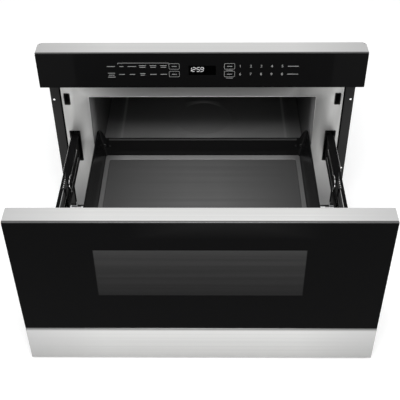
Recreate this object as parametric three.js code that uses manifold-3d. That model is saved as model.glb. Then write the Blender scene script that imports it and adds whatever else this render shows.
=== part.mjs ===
// Under-counter microwave drawer, drawn with the drawer fully out.
// Millimetres. X right, +Y into the cabinet, +Z up.
// y = 0 is the cabinet's face, z = 0 the foot ribs, x = 0 the middle.
import * as THREE from "three";
import { mergeVertices } from "three/addons/utils/BufferGeometryUtils.js";
import Module from "manifold-3d";

const wasm = await Module();
wasm.setup();

// ---------- driving dimensions ----------
const CLR = 0.3;             // standing clearance between separate pieces
const SHEET = 1.2;           // sheet steel

const CAV_W = 443;           // cavity, inside
const CAV_H = 194;
const CAV_D = 420;
const UNDER_CAVITY = 92;     // feet to cavity floor
const OVER_CAVITY = 86;      // cavity ceiling to case top
const BEHIND_CAVITY = 128;   // cavity back to case back
const RIB_H = 2;             // pressed foot ribs
const RIB_W = 360;
const RIB_D = 22;

const RAIL_GAP = 29.9;       // cavity side to middle rail
const RAIL_W = 15;           // middle rail's inner face to drawer rail's outer face
const RAIL_H = 52.2;         // middle rail
const RAIL_RISE = 49.4;      // cavity floor to the middle rail's underside
const RAIL_T = 1.4;
const RAIL_LIP = 9.2;        // width of the drawer rail's flanges
const BALL_GAP = 4;          // room for balls between the fixed and the middle rail
const BALL_PLAY = 2.6;       // room between the middle rail and the drawer rail
const MID_RAIL_LEN = 400;
const FIXED_RAIL_LEN = 430;
const CASE_SIDE_GAP = 8.4;   // drawer rail to the case's side

const FRONT_OVERHANG = 27;   // front wider than the case, each side
const SILL = 3;              // drawer front's lower edge above the feet
const DOOR_OVER = 41.5;      // drawer front above the cavity ceiling
const FRONT_GAP = 4;         // between panel and drawer front
const PANEL_H = 72.5;
const PANEL_D = 39;          // panel front to frame face
const FRAME_PROUD = 5;       // frame face ahead of the cabinet's face
const FRAME_FOOT = 8;        // frame's lower edge above the feet
const FRAME_LIP = 15;        // depth of the frame's turned edge
const TRAVEL = 372.5;
const DOOR_T = 34.2;
const GLASS_T = 4;
const STRIP_H = 78.8;        // stainless bottom strip
const STRIP_PROUD = 1.5;
const CAP_T = 1.6;           // stainless top caps
const WINDOW_W = 338;
const WINDOW_H = 103;
const WINDOW_RISE = 162;     // drawer front's lower edge to the window
const WINDOW_LAP = 8;        // screen and pane past the frame's hole
const CHOKE_W = 12;          // choke ring's face width
const CHOKE_T = 3.7;

const FLANGE_W = 19.7;       // cabinet flange
const FLANGE_LEG = 26;
const FLANGE_HOLE_R = 2.4;
const FLANGE_HOLE_EDGE = 6;  // hole centre to the flange's outer edge
const FLANGE_HOLE_HEIGHTS = [107.5, 277];

const SLOT_IN = 3.8;         // slide slot round the rails: inward, outward, below, above
const SLOT_OUT = 1.2;
const SLOT_BELOW = 10.2;
const SLOT_ABOVE = 11.4;
const LATCH_RUN = 37.4;      // cavity side to latch slot
const LATCH_W = 10.1;
const LATCH_H = 24.6;
const LATCH_DROP = 17.6;     // latch slot's lower edge under the cavity ceiling
const HOOK_LEN = 20;

const TRAY_SIDE_GAP = 3.2;   // tray's top edge to the cavity side
const TRAY_BACK_GAP = 11.5;  // closed tray's rear wall to the cavity back
const TRAY_LIFT = 9;         // tray's underside above the cavity floor
const TRAY_T = 1.6;
const TRAY_STACK = 12;       // tray's underside to the glass floor's top
const TRAY_SIDE_H = 64;      // side walls above the glass floor
const TRAY_BACK_H = 44;      // rear wall above the glass floor
const TRAY_DRAFT = 10.5;     // each side wall leans out by this much over its height
const EAR_W = 16;            // raised end of the rear wall
const EAR_RUN = 9;           // its sloped shoulder
const RIM_W = 9.6;
const RIM_BACK = 14.8;
const RIM_FRONT = 5;
const RIM_LEDGE = 5;
const FLOOR_T = 4;

const MODULE = 1.5;          // rack and pinion
const TEETH = 16;
const PINION_Y = 30;
const PINION_RIM = 7;        // rack's top to its pitch line, with room for the drawer rail's leg
const GEAR_W = 7.8;

const STIRRER_R = 68.6;
const STIRRER_Y = 205;
const GUIDE_W = 90;          // waveguide
const GUIDE_H = 40;
const WELL_H = 26;
const FAN_R = 52;
const FAN_TIP_GAP = 4;
const INLET_R = 11;

// ---------- derived places ----------
const CAV_X = CAV_W / 2;
const CAV_Z0 = UNDER_CAVITY;
const CAV_Z1 = CAV_Z0 + CAV_H;
const MID_X = CAV_X + RAIL_GAP;           // middle rail's inner face
const RAIL_X = MID_X + RAIL_W;            // drawer rail's outer face
const MID_Z0 = CAV_Z0 + RAIL_RISE;
const MID_Z1 = MID_Z0 + RAIL_H;
const CASE_X = RAIL_X + CASE_SIDE_GAP + SHEET;
const CASE_H = CAV_Z1 + OVER_CAVITY;
const CASE_D = CAV_D + BEHIND_CAVITY;
const FRONT_X = CASE_X + FRONT_OVERHANG;
const FRAME_X = CASE_X - SHEET - 2 * CLR;
const FRAME_Y = -FRAME_PROUD;
const FRAME_BACK = FRAME_Y + SHEET;
const FRAME_Z1 = CASE_H - SHEET - 2 * CLR;
const DOOR_Z1 = CAV_Z1 + DOOR_OVER;
const PANEL_Z0 = DOOR_Z1 + FRONT_GAP;
const TOP_Z = PANEL_Z0 + PANEL_H;
const PANEL_Y = FRAME_Y - PANEL_D;
const DOOR_Y = PANEL_Y - TRAVEL;          // drawer front's face, drawer out
const DOOR_BACK = DOOR_Y + DOOR_T;
const FLOOR_TOP = RIB_H + SHEET + CLR;    // what stands on the base pan starts here
const REAR_IN = CASE_D - SHEET - CLR;     // what hangs on the rear cover ends here
const CAV_OUT = CAV_X + SHEET + CLR;      // what is fixed to the cavity's side starts here

// ---------- solids ----------
function solid(geometry) {
  const g = geometry.index ? geometry.toNonIndexed() : geometry;
  g.deleteAttribute("normal");
  g.deleteAttribute("uv");
  const m = mergeVertices(g, 1e-4);
  return new wasm.Manifold(new wasm.Mesh({
    numProp: 3,
    vertProperties: new Float32Array(m.attributes.position.array),
    triVerts: new Uint32Array(m.index.array),
  }));
}

function box(x0, x1, y0, y1, z0, z1) {
  const g = new THREE.BoxGeometry(x1 - x0, y1 - y0, z1 - z0);
  g.translate((x0 + x1) / 2, (y0 + y1) / 2, (z0 + z1) / 2);
  return solid(g);
}

// A flat outline pushed along one axis. Points: axis x -> (y, z), y -> (x, z), z -> (x, y).
function prism(axis, outline, from, to, holes = []) {
  const flat = ([a, b]) => (axis === "y" ? new THREE.Vector2(b, a) : new THREE.Vector2(a, b));
  const shape = new THREE.Shape(outline.map(flat));
  const g = new THREE.ExtrudeGeometry(shape, { depth: to - from, bevelEnabled: false });
  g.translate(0, 0, from);
  const p = g.attributes.position;
  for (let i = 0; i < p.count; i++) {
    const [u, v, w] = [p.getX(i), p.getY(i), p.getZ(i)];
    if (axis === "x") p.setXYZ(i, w, u, v);
    if (axis === "y") p.setXYZ(i, v, w, u);
    if (axis === "z") p.setXYZ(i, u, v, w);
  }
  return holes.reduce((m, h) => m.subtract(prism(axis, h, from - 1, to + 1)), solid(g));
}

// A profile of (radius, height) points turned about an axis through a centre.
function turned(axis, centre, profile, steps = 24) {
  const g = new THREE.LatheGeometry(profile.map(([r, h]) => new THREE.Vector2(r, h)), steps);
  if (axis === "z") g.rotateX(Math.PI / 2);
  if (axis === "x") g.rotateZ(-Math.PI / 2);
  g.translate(...centre);
  return solid(g);
}

function disc(axis, centre, r, from, to, steps = 24) {
  return turned(axis, centre, [[0, from], [r, from], [r, to], [0, to]], steps);
}

const rect = (a0, a1, b0, b1) => [[a0, b0], [a1, b0], [a1, b1], [a0, b1]];

function circle(a, b, r, steps = 16) {
  return Array.from({ length: steps }, (_, i) => {
    const t = (2 * Math.PI * i) / steps;
    return [a + r * Math.cos(t), b + r * Math.sin(t)];
  });
}

function rounded(a0, a1, b0, b1, r, steps = 3) {
  const corners = [[a1 - r, b1 - r], [a0 + r, b1 - r], [a0 + r, b0 + r], [a1 - r, b0 + r]];
  return corners.flatMap(([a, b], turn) => Array.from({ length: steps + 1 }, (_, i) => {
    const t = ((turn + i / steps) * Math.PI) / 2;
    return [a + r * Math.cos(t), b + r * Math.sin(t)];
  }));
}

const join = (...solids) => solids.reduce((a, b) => a.add(b));
const cut = (a, ...tools) => tools.reduce((s, t) => s.subtract(t), a);

// Outlines and boxes are drawn for the right side; side -1 mirrors them.
const mirror = (side, outline) => (side > 0 ? outline : outline.map(([a, b]) => [-a, b]));
const span = (side, a, b) => (side > 0 ? [a, b] : [-b, -a]);
const sideBox = (side, x0, x1, ...rest) => box(...span(side, x0, x1), ...rest);

// ---------- materials ----------
const metal = (color, roughness = 0.4) => ({ color, roughness, metalness: 1 });
const plain = (color, roughness = 0.5) => ({ color, roughness, metalness: 0 });
const STAINLESS = metal(0xcfd0cf, 0.3);
const ZINC = metal(0xb4b7ba, 0.42);
const ALUMINIUM = metal(0xc2c4c5, 0.35);
const FRAME_STEEL = metal(0xb8bab9, 0.4);
const DARK_STEEL = metal(0x343535, 0.5);
const RAIL_STEEL = metal(0x232425, 0.35);
const CORE_STEEL = metal(0x6d675c, 0.55);
const ENAMEL = plain(0x171718, 0.18);
const BLACK_GLASS = plain(0x121213, 0.06);
const BLACK_PLASTIC = plain(0x1a1a1b, 0.6);
const CREAM_PLASTIC = plain(0xdedad0, 0.5);
const BOARD = plain(0x3c6b46, 0.6);

const root = new THREE.Group();
root.name = "microwave_drawer";

function put(name, shape, material) {
  const m = shape.getMesh();
  const g = new THREE.BufferGeometry();
  g.setAttribute("position", new THREE.BufferAttribute(new Float32Array(m.vertProperties), 3));
  g.setIndex(new THREE.BufferAttribute(new Uint32Array(m.triVerts), 1));
  g.computeVertexNormals();
  const mesh = new THREE.Mesh(g, new THREE.MeshStandardMaterial(material));
  mesh.name = name;
  root.add(mesh);
}

function putBoth(name, make, material) {
  put(`${name}_left`, make(-1), material);
  put(`${name}_right`, make(1), material);
}

// ---------- case ----------
function basePan() {
  const halfW = CASE_X - SHEET - CLR;
  const front = FRAME_BACK + CLR;
  const ribFront = front + 0.7;
  const tabOut = 14;          // bright corner tab past the frame
  const tabUp = 15;
  const wallFront = FRAME_Y + FRAME_LIP + 4;
  const z1 = RIB_H + SHEET;
  let s = box(-halfW, halfW, front, REAR_IN, RIB_H, z1);
  for (const y of [ribFront, REAR_IN - RIB_D * 2]) {
    s = join(s, box(-RIB_W / 2, RIB_W / 2, y, y + RIB_D, 0, RIB_H + SHEET / 2));
  }
  for (const side of [-1, 1]) {
    const tabX = FRAME_X + CLR;
    s = join(
      s,
      sideBox(side, halfW - SHEET, halfW, wallFront, REAR_IN, RIB_H, RIB_H + tabUp),
      sideBox(side, halfW - 8, FRAME_X + tabOut, FRAME_Y - 1, 8, RIB_H, z1),
      sideBox(side, tabX, tabX + SHEET, FRAME_Y - 1, 0.5, RIB_H, RIB_H + tabUp),
    );
  }
  return s;
}

function caseWrap() {
  const inner = CASE_X - SHEET;
  const outline = [
    [-CASE_X, FLOOR_TOP], [-CASE_X, CASE_H], [CASE_X, CASE_H], [CASE_X, FLOOR_TOP],
    [inner, FLOOR_TOP], [inner, CASE_H - SHEET], [-inner, CASE_H - SHEET], [-inner, FLOOR_TOP],
  ];
  const [slots, pitch, wide, first] = [6, 12, 6, CAV_D + 20];
  const [low, high] = [180, 250];
  let s = prism("y", outline, 1.5, REAR_IN);
  for (let i = 0; i < slots; i++) {
    const y = first + i * pitch;
    s = cut(s, box(inner - 3, CASE_X + 3, y, y + wide, low, high));
  }
  return s;
}

const INLET_X = -205;
const INLET_Z = 60;

function rearCover() {
  const [slots, pitch, wide] = [7, 14, 7];
  const holes = [circle(INLET_X, INLET_Z, INLET_R, 20)];
  for (const [x0, low, high] of [[130, 110, 200], [-60, 200, 260]]) {
    for (let i = 0; i < slots; i++) {
      holes.push(rect(x0 + i * pitch, x0 + i * pitch + wide, low, high));
    }
  }
  return prism("y", rect(-CASE_X, CASE_X, FLOOR_TOP, CASE_H), CASE_D - SHEET, CASE_D, holes);
}

function cordInlet() {
  const [bore, neck, collar] = [5, INLET_R - CLR, INLET_R + 3];
  const [inside, outside] = [CASE_D - SHEET - CLR, CASE_D + CLR];
  return turned("y", [INLET_X, 0, INLET_Z], [
    [bore, inside - 4.5], [collar, inside - 4.5], [collar, inside], [neck, inside],
    [neck, outside], [collar, outside], [collar - 1.5, outside + 4], [collar - 5, outside + 9],
    [bore, outside + 9], [bore, inside - 4.5],
  ], 20);
}

const LATCH_X0 = CAV_X + LATCH_RUN;
const LATCH_X1 = LATCH_X0 + LATCH_W;
const LATCH_Z0 = CAV_Z1 - LATCH_DROP;
const LATCH_Z1 = LATCH_Z0 + LATCH_H;

function frontFrame() {
  const holes = [rect(-CAV_X, CAV_X, CAV_Z0, CAV_Z1)];
  for (const side of [-1, 1]) {
    const slot = span(side, MID_X - SLOT_IN, RAIL_X + SLOT_OUT);
    holes.push(rect(...slot, MID_Z0 - SLOT_BELOW, MID_Z1 + SLOT_ABOVE));
    holes.push(rect(...span(side, LATCH_X0, LATCH_X1), LATCH_Z0, LATCH_Z1));
  }
  const face = rect(-FRAME_X, FRAME_X, FRAME_FOOT, FRAME_Z1);
  const inside = rect(-FRAME_X + SHEET, FRAME_X - SHEET, FRAME_FOOT + SHEET, FRAME_Z1 - SHEET);
  return join(
    prism("y", face, FRAME_Y, FRAME_BACK, holes),
    prism("y", face, FRAME_Y, FRAME_Y + FRAME_LIP, [inside]),
  );
}

function mountingFlange(side) {
  const inner = CASE_X + CLR;
  const outer = inner + FLANGE_W;
  const holes = FLANGE_HOLE_HEIGHTS.map((z) =>
    circle(side * (outer - FLANGE_HOLE_EDGE), z, FLANGE_HOLE_R, 12));
  return join(
    prism("y", rect(...span(side, inner, outer), FRAME_FOOT, CASE_H), -SHEET, 0, holes),
    sideBox(side, inner, inner + SHEET, -SHEET, FLANGE_LEG, FRAME_FOOT, CASE_H),
  );
}

put("base_pan", basePan(), ZINC);
put("case_wrap", caseWrap(), ZINC);
put("rear_cover", rearCover(), ZINC);
put("cord_inlet", cordInlet(), plain(0x161616, 0.7));
put("front_frame", frontFrame(), FRAME_STEEL);
putBoth("mounting_flange", mountingFlange, DARK_STEEL);

// ---------- cavity and microwave path ----------
const LAMP_Y = CAV_D - 90;
const LAMP_Z = CAV_Z1 - 46;

function cavityShell() {
  const front = FRAME_BACK + CLR;
  const skin = [CAV_X + SHEET, CAV_Z0 - SHEET, CAV_Z1 + SHEET];
  const [lights, pitch, wide, tall] = [4, 7, 3.5, 24];
  let s = cut(
    box(-skin[0], skin[0], front, CAV_D + SHEET, skin[1], skin[2]),
    box(-CAV_X, CAV_X, front - 1, CAV_D, CAV_Z0, CAV_Z1),
    disc("z", [0, STIRRER_Y, 0], STIRRER_R - 8, CAV_Z0 - 3, CAV_Z0 + 3, 32),
  );
  for (let i = 0; i < lights; i++) {
    const y = LAMP_Y + (i - lights / 2) * pitch + 2;
    s = cut(s, box(CAV_X - 3, CAV_X + 3, y, y + wide, LAMP_Z - tall / 2, LAMP_Z + tall / 2));
  }
  return s;
}

function cavityLamp() {
  const holder = rounded(CAV_OUT, CAV_OUT + 28, LAMP_Z - 14, LAMP_Z + 14, 4, 2);
  return join(
    box(CAV_OUT, CAV_OUT + 2, LAMP_Y - 24, LAMP_Y + 26, LAMP_Z - 22, LAMP_Z + 22),
    prism("y", holder, LAMP_Y - 16, LAMP_Y + 16),
  );
}

function stirrerCover() {
  const [z0, z1, crown] = [CAV_Z0 + CLR, CAV_Z0 + 2, 0.6];
  return turned("z", [0, STIRRER_Y, 0], [
    [0, z0], [STIRRER_R, z0], [STIRRER_R, z1], [STIRRER_R - 1.2, z1 + crown],
    [STIRRER_R - 6, z1 + crown], [STIRRER_R - 7, z1], [0, z1],
  ], 40);
}

const GUIDE_Z1 = CAV_Z0 - SHEET - CLR;
const GUIDE_Z0 = GUIDE_Z1 - GUIDE_H;
const WELL_Z0 = GUIDE_Z1 - WELL_H;
const WELL_R = STIRRER_R - 3;
const TUBE_Y = CAV_D + 56;                // magnetron's axis
const TUBE_R = 9;
const SPINDLE_R = 3;
const SEAM_Y = STIRRER_Y + WELL_R + 0.4;

// The guide is two pressings that meet at a seam behind the stirrer: a square well and a duct.
function guide(from, to) {
  const half = GUIDE_W / 2;
  const [front, back] = [STIRRER_Y - 30, TUBE_Y + 45];
  const well = (r, z0, z1) => box(-r, r, STIRRER_Y - r, STIRRER_Y + r, z0, z1);
  const shape = (t) => join(
    well(WELL_R - t, WELL_Z0 + t, GUIDE_Z1 - t),
    box(-half + t, half - t, front + t, back - t, GUIDE_Z0 + t, GUIDE_Z1 - t),
  );
  return cut(
    shape(0),
    shape(SHEET),
    well(WELL_R - 6, GUIDE_Z1 - 3, GUIDE_Z1 + 1),
    disc("z", [0, TUBE_Y, 0], TUBE_R + 3, GUIDE_Z1 - 3, GUIDE_Z1 + 1, 20),
    disc("z", [0, STIRRER_Y, 0], SPINDLE_R + 2, GUIDE_Z0 - 1, GUIDE_Z0 + 3, 16),
  ).intersect(box(-WELL_R - 1, WELL_R + 1, from, to, 0, GUIDE_Z1 + 1));
}

function stirrerAntenna() {
  const blades = 3;
  const hubZ = WELL_Z0 + 7;
  const outline = [[0.1, -0.6], [0.74, -0.32], [0.96, -0.2], [1, 0.16], [0.77, 0.34], [0.1, 0.6]];
  const reach = WELL_R - 13.6;
  let s = join(
    disc("z", [0, STIRRER_Y, 0], 9, hubZ, hubZ + 6, 20),
    disc("z", [0, STIRRER_Y, 0], SPINDLE_R, GUIDE_Z0 - 5, hubZ + 1, 12),
  );
  for (let i = 0; i < blades; i++) {
    const turn = (i * 2 * Math.PI) / blades;
    const pts = outline.map(([r, t]) =>
      [reach * r * Math.cos(turn + t), STIRRER_Y + reach * r * Math.sin(turn + t)]);
    s = join(s, prism("z", pts, hubZ + 2, hubZ + 3.6));
  }
  return s;
}

function stirrerMotor() {
  const top = GUIDE_Z0 - CLR;
  const can = disc("z", [0, STIRRER_Y, 0], 24, top - 20, top);
  const ears = box(-34, 34, STIRRER_Y - 6, STIRRER_Y + 6, top - 2, top);
  return cut(join(can, ears), disc("z", [0, STIRRER_Y, 0], SPINDLE_R + 1, top - 12, top + 1, 12));
}

function magnetron() {
  const z0 = GUIDE_Z1 + CLR;
  const [w, d, foot, body, filter] = [38, 32, 3, 62, 82];
  const [fins, pitch, finT] = [6, 8, 1.2];
  let s = cut(
    box(-w, w, TUBE_Y - d, TUBE_Y + d, z0, z0 + body),
    box(-w + 4, w - 4, TUBE_Y - d - 1, TUBE_Y + d + 1, z0 + foot + 4, z0 + body - 4),
  );
  for (let i = 0; i < fins; i++) {
    const z = z0 + foot + 9 + i * pitch;
    s = join(s, box(-w + 3, w - 3, TUBE_Y - d + 2, TUBE_Y + d - 2, z, z + finT));
  }
  return join(
    s,
    box(-w - 6, w + 6, TUBE_Y - d - 4, TUBE_Y + d + 4, z0, z0 + foot),
    disc("z", [0, TUBE_Y, 0], 18, z0 + 2, z0 + body - 2),
    disc("z", [0, TUBE_Y, 0], TUBE_R, z0 - 16, z0 + foot, 20),
    box(-24, 24, TUBE_Y - 18, TUBE_Y + 18, z0 + body - 2, z0 + filter),
  );
}

put("cavity_shell", cavityShell(), ENAMEL);
put("cavity_lamp", cavityLamp(), CREAM_PLASTIC);
put("stirrer_cover", stirrerCover(), plain(0x262627, 0.3));
put("stirrer_well", guide(0, SEAM_Y), ALUMINIUM);
put("waveguide", guide(SEAM_Y + CLR, CASE_D), ALUMINIUM);
put("stirrer_antenna", stirrerAntenna(), ALUMINIUM);
put("stirrer_motor", stirrerMotor(), CREAM_PLASTIC);
put("magnetron", magnetron(), ALUMINIUM);

// ---------- power parts ----------
const BAY_Y = CAV_D + 20;                 // front of the rear bay's parts

function transformer() {
  const [x0, x1, d, h] = [-232, -128, 78, 76];
  return join(
    box(x0, x1, BAY_Y, BAY_Y + d, FLOOR_TOP, FLOOR_TOP + 3),
    box(x0 + 6, x1 - 6, BAY_Y + 8, BAY_Y + d - 8, FLOOR_TOP + 2, FLOOR_TOP + h),
    box(x0 + 20, x1 - 20, BAY_Y - 6, BAY_Y + d + 6, FLOOR_TOP + 18, FLOOR_TOP + 60),
  );
}

function capacitor() {
  const [x0, x1, d, h] = [-112, -62, 90, 34];
  const can = prism("z", rounded(x0, x1, BAY_Y, BAY_Y + d, 20, 4), FLOOR_TOP, FLOOR_TOP + h);
  const mid = (x0 + x1) / 2;
  const tabs = [30, 58].map((y) =>
    box(mid - 3, mid + 3, BAY_Y + y, BAY_Y + y + SHEET, FLOOR_TOP + h - 1, FLOOR_TOP + h + 8));
  return join(can, ...tabs);
}

const FAN_X = 178;
const FAN_Z = 155;
const FAN_Y = CASE_D - 52;
const RING_R = FAN_R + FAN_TIP_GAP;

function fanShroud() {
  const half = RING_R + 10;
  const y0 = FAN_Y - 6;
  const bore = circle(FAN_X, FAN_Z, RING_R, 32);
  const plate = rect(FAN_X - half, FAN_X + half, FLOOR_TOP, FAN_Z + half);
  return join(
    prism("y", plate, y0, y0 + SHEET, [bore]),
    prism("y", circle(FAN_X, FAN_Z, RING_R + SHEET, 32), y0, y0 + 16, [bore]),
    box(FAN_X - half, FAN_X + half, y0, y0 + 20, FLOOR_TOP, FLOOR_TOP + SHEET),
  );
}

function fanBlade() {
  const [blades, hub, twist, chord] = [5, 14, 0.6, 30];
  const centre = [FAN_X, 0, FAN_Z];
  const sweep = disc("y", centre, FAN_R, FAN_Y - 3.5, FAN_Y + 11, 32);
  let s = join(
    disc("y", centre, hub, FAN_Y - 2, FAN_Y + 10, 20),
    disc("y", centre, SPINDLE_R, FAN_Y + 8, FAN_Y + 20, 12),
  );
  for (let i = 0; i < blades; i++) {
    const length = FAN_R - hub + 8;
    const g = new THREE.BoxGeometry(length, 1.6, chord);
    g.rotateX(twist);
    g.translate(length / 2 + hub - 4, 0, 0);
    g.rotateY((-i * 2 * Math.PI) / blades);
    g.translate(FAN_X, FAN_Y + 3, FAN_Z);
    s = join(s, solid(g).intersect(sweep));
  }
  return s;
}

function fanMotor() {
  const centre = [FAN_X, 0, FAN_Z];
  const body = join(
    disc("y", centre, 20, FAN_Y + 13, REAR_IN - 6),
    box(FAN_X - 26, FAN_X + 26, FAN_Y + 18, FAN_Y + 36, FAN_Z - 24, FAN_Z + 34),
    box(FAN_X - 44, FAN_X + 44, REAR_IN - 8, REAR_IN, FAN_Z - 12, FAN_Z + 12),
  );
  return cut(body, disc("y", centre, SPINDLE_R + 1, FAN_Y + 12, FAN_Y + 26, 12));
}

// A board on four posts, its parts given as boxes on its face.
function powerBoard() {
  const [x0, x1, y0, y1] = [-170, -30, 70, 190];
  const base = CAV_Z1 + SHEET + CLR;
  const face = base + 13;
  const parts = [[15, 50, 25, 60, 29], [60, 78, 25, 55, 17], [90, 108, 25, 55, 17], [20, 110, 95, 108, 13]];
  let s = box(x0, x1, y0, y1, base + 12, face + 0.6);
  for (const x of [x0 + 10, x1 - 10]) {
    for (const y of [y0 + 10, y1 - 10]) s = join(s, disc("z", [x, y, 0], 4, base, face, 10));
  }
  for (const [a, b, c, d, h] of parts) {
    s = join(s, box(x0 + a, x0 + b, y0 + c, y0 + d, face, face + h));
  }
  return s;
}

function noiseFilter() {
  const [x0, x1, z0, z1] = [-180, -100, CAV_Z1, CAV_Z1 + 60];
  const face = REAR_IN - 12;
  let s = box(x0, x1, face, face + 1.6, z0, z1);
  for (const x of [x0 + 6, x1 - 6]) {
    for (const z of [z0 + 6, z1 - 6]) s = join(s, disc("y", [x, 0, z], 3.5, face + 1, REAR_IN, 10));
  }
  return join(
    s,
    disc("y", [x0 + 25, 0, z0 + 34], 13, face - 18, face + 1, 20),
    box(x1 - 32, x1 - 10, face - 16, face + 1, z0 + 10, z0 + 46),
  );
}

put("hv_transformer", transformer(), CORE_STEEL);
put("hv_capacitor", capacitor(), ALUMINIUM);
put("fan_shroud", fanShroud(), BLACK_PLASTIC);
put("fan_blade", fanBlade(), BLACK_PLASTIC);
put("fan_motor", fanMotor(), CORE_STEEL);
put("power_board", powerBoard(), BOARD);
put("noise_filter", noiseFilter(), BOARD);

// ---------- control panel ----------
const BOX_Y0 = PANEL_Y + GLASS_T + CLR;
const BOX_Y1 = FRAME_Y - CLR;
const BOX_T = 2;
const CAP_Z0 = TOP_Z - CAP_T;
const KEYS_Z0 = PANEL_Z0 + 14.5;
const KEYS_H = 45;
const DISPLAY = [-28, 30.5, KEYS_Z0 + 6, KEYS_Z0 + KEYS_H - 6];
const DISPLAY_D = 9;
const SENSOR_X = 181;

function controlHousing() {
  const half = FRONT_X - 1.5;
  const [z0, z1] = [PANEL_Z0 + 0.5, CAP_Z0 - CLR];
  return cut(
    box(-half, half, BOX_Y0, BOX_Y1, z0, z1),
    box(-half + BOX_T, half - BOX_T, BOX_Y0 - 1, BOX_Y1 - BOX_T, z0 + BOX_T, z1 - BOX_T),
  );
}

function controlGlass() {
  return prism("y", rounded(-FRONT_X, FRONT_X, PANEL_Z0, CAP_Z0 - CLR, 1, 2), PANEL_Y, PANEL_Y + GLASS_T);
}

function controlTopCap() {
  const notch = 5;
  const front = PANEL_Y + CLR;
  const side = (s) => [[s * FRONT_X, front], [s * FRONT_X, BOX_Y1 - notch],
    [s * (FRONT_X - notch), BOX_Y1 - notch], [s * (FRONT_X - notch), BOX_Y1]];
  return prism("z", [...side(1), ...side(-1).reverse()], CAP_Z0, TOP_Z);
}

function touchSensorSheet() {
  const [x0, x1, z0, z1] = DISPLAY;
  return prism("y", rect(-SENSOR_X, SENSOR_X, KEYS_Z0, KEYS_Z0 + KEYS_H), BOX_Y0, BOX_Y0 + 1,
    [rect(x0 - 1, x1 + 1, z0 - 1, z1 + 1)]);
}

function displayModule() {
  const [x0, x1, z0, z1] = DISPLAY;
  const back = BOX_Y0 + DISPLAY_D;
  return join(
    box(x0, x1, BOX_Y0, back, z0, z1),
    box(x0 + 4, x1 - 4, back - 1, back + 3, z0 + 6, z1 - 6),
  );
}

function controlBoard() {
  const [half, z0, z1] = [150, KEYS_Z0 - 2, KEYS_Z0 + KEYS_H + 3];
  const y0 = BOX_Y0 + DISPLAY_D + 3 + CLR;
  const y1 = y0 + 1.6;
  let s = box(-half, half, y0, y1, z0, z1);
  for (const x of [-half + 8, half - 8]) {
    for (const z of [z0 + 6, z1 - 6]) {
      s = join(s, disc("y", [x, 0, z], 3.5, y0 + 1, BOX_Y1 - BOX_T - CLR, 10));
    }
  }
  return join(
    s,
    box(-110, -70, y1 - 0.5, y1 + 6.4, z0 + 8, z0 + 36),
    box(60, 84, y1 - 0.5, y1 + 3.4, z0 + 12, z0 + 36),
  );
}

put("control_housing", controlHousing(), BLACK_PLASTIC);
put("control_glass", controlGlass(), BLACK_GLASS);
put("control_top_cap", controlTopCap(), STAINLESS);
put("touch_sensor_sheet", touchSensorSheet(), plain(0x8c7b45, 0.5));
put("display_module", displayModule(), plain(0x0b0b0c, 0.3));
put("control_board", controlBoard(), BOARD);

// ---------- rails ----------
// The fixed rail wraps the middle rail from the cavity side, and the middle rail's top and
// bottom flanges wrap the drawer rail. Each drawer rail has a leg down to the rack's height.
const FIX_X = MID_X - 3.5;
const FIX_Z0 = MID_Z0 - BALL_GAP - RAIL_T;
const FIX_Z1 = MID_Z1 + BALL_GAP + RAIL_T;
const DRAWER_Z0 = MID_Z0 + RAIL_T + BALL_PLAY;
const DRAWER_Z1 = MID_Z1 - RAIL_T - BALL_PLAY;
const MID_Y0 = FRAME_Y + 11 - TRAVEL / 2; // middle rail's front end, drawer out
const RAIL_BACK = PINION_Y + 12;          // drawer rail's rear end, drawer out
const RACK_TOP = MID_Z0 - SHEET - 0.2;
const PITCH_Z = RACK_TOP - PINION_RIM + RAIL_T + 0.2;

function outerRail(side) {
  const y0 = FRAME_BACK + 2 * CLR;
  const [low, high] = [MID_X + 3, MID_X + 8];
  return prism("y", mirror(side, [
    [FIX_X, FIX_Z0], [low, FIX_Z0], [low, FIX_Z0 + RAIL_T], [FIX_X + RAIL_T, FIX_Z0 + RAIL_T],
    [FIX_X + RAIL_T, FIX_Z1 - RAIL_T], [high, FIX_Z1 - RAIL_T], [high, FIX_Z1], [FIX_X, FIX_Z1],
  ]), y0, y0 + FIXED_RAIL_LEN);
}

// Z-shaped sheet between the cavity's side and the fixed rail.
function railMount(side) {
  const rail = FIX_X - CLR;
  const web = (FIX_Z0 + FIX_Z1) / 2 + 6;
  const leg = 24;
  return prism("y", mirror(side, [
    [CAV_OUT, web], [rail - SHEET, web], [rail - SHEET, web - leg], [rail, web - leg],
    [rail, web + SHEET], [CAV_OUT + SHEET, web + SHEET], [CAV_OUT + SHEET, web + leg], [CAV_OUT, web + leg],
  ]), FRAME_Y + 29, CAV_D - 20);
}

function midRail(side) {
  const topEdge = RAIL_X - 0.4;
  const lowEdge = RAIL_X - 2.6;
  const bar = prism("y", mirror(side, [
    [MID_X, MID_Z0], [lowEdge, MID_Z0], [lowEdge, MID_Z0 + RAIL_T], [MID_X + RAIL_T, MID_Z0 + RAIL_T],
    [MID_X + RAIL_T, MID_Z1 - RAIL_T], [topEdge, MID_Z1 - RAIL_T], [topEdge, MID_Z1], [MID_X, MID_Z1],
  ]), MID_Y0, MID_Y0 + MID_RAIL_LEN);
  // the front end of its top flange is cut in steps
  const steps = mirror(side, [
    [MID_X + 3, MID_Y0 - 1], [RAIL_X + 1, MID_Y0 - 1], [RAIL_X + 1, MID_Y0 + 58],
    [RAIL_X - 5, MID_Y0 + 54], [RAIL_X - 7, MID_Y0 + 30], [MID_X + 5, MID_Y0 + 22],
  ]);
  return cut(bar, prism("z", steps, MID_Z1 - RAIL_T - 0.5, MID_Z1 + 1));
}

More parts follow.
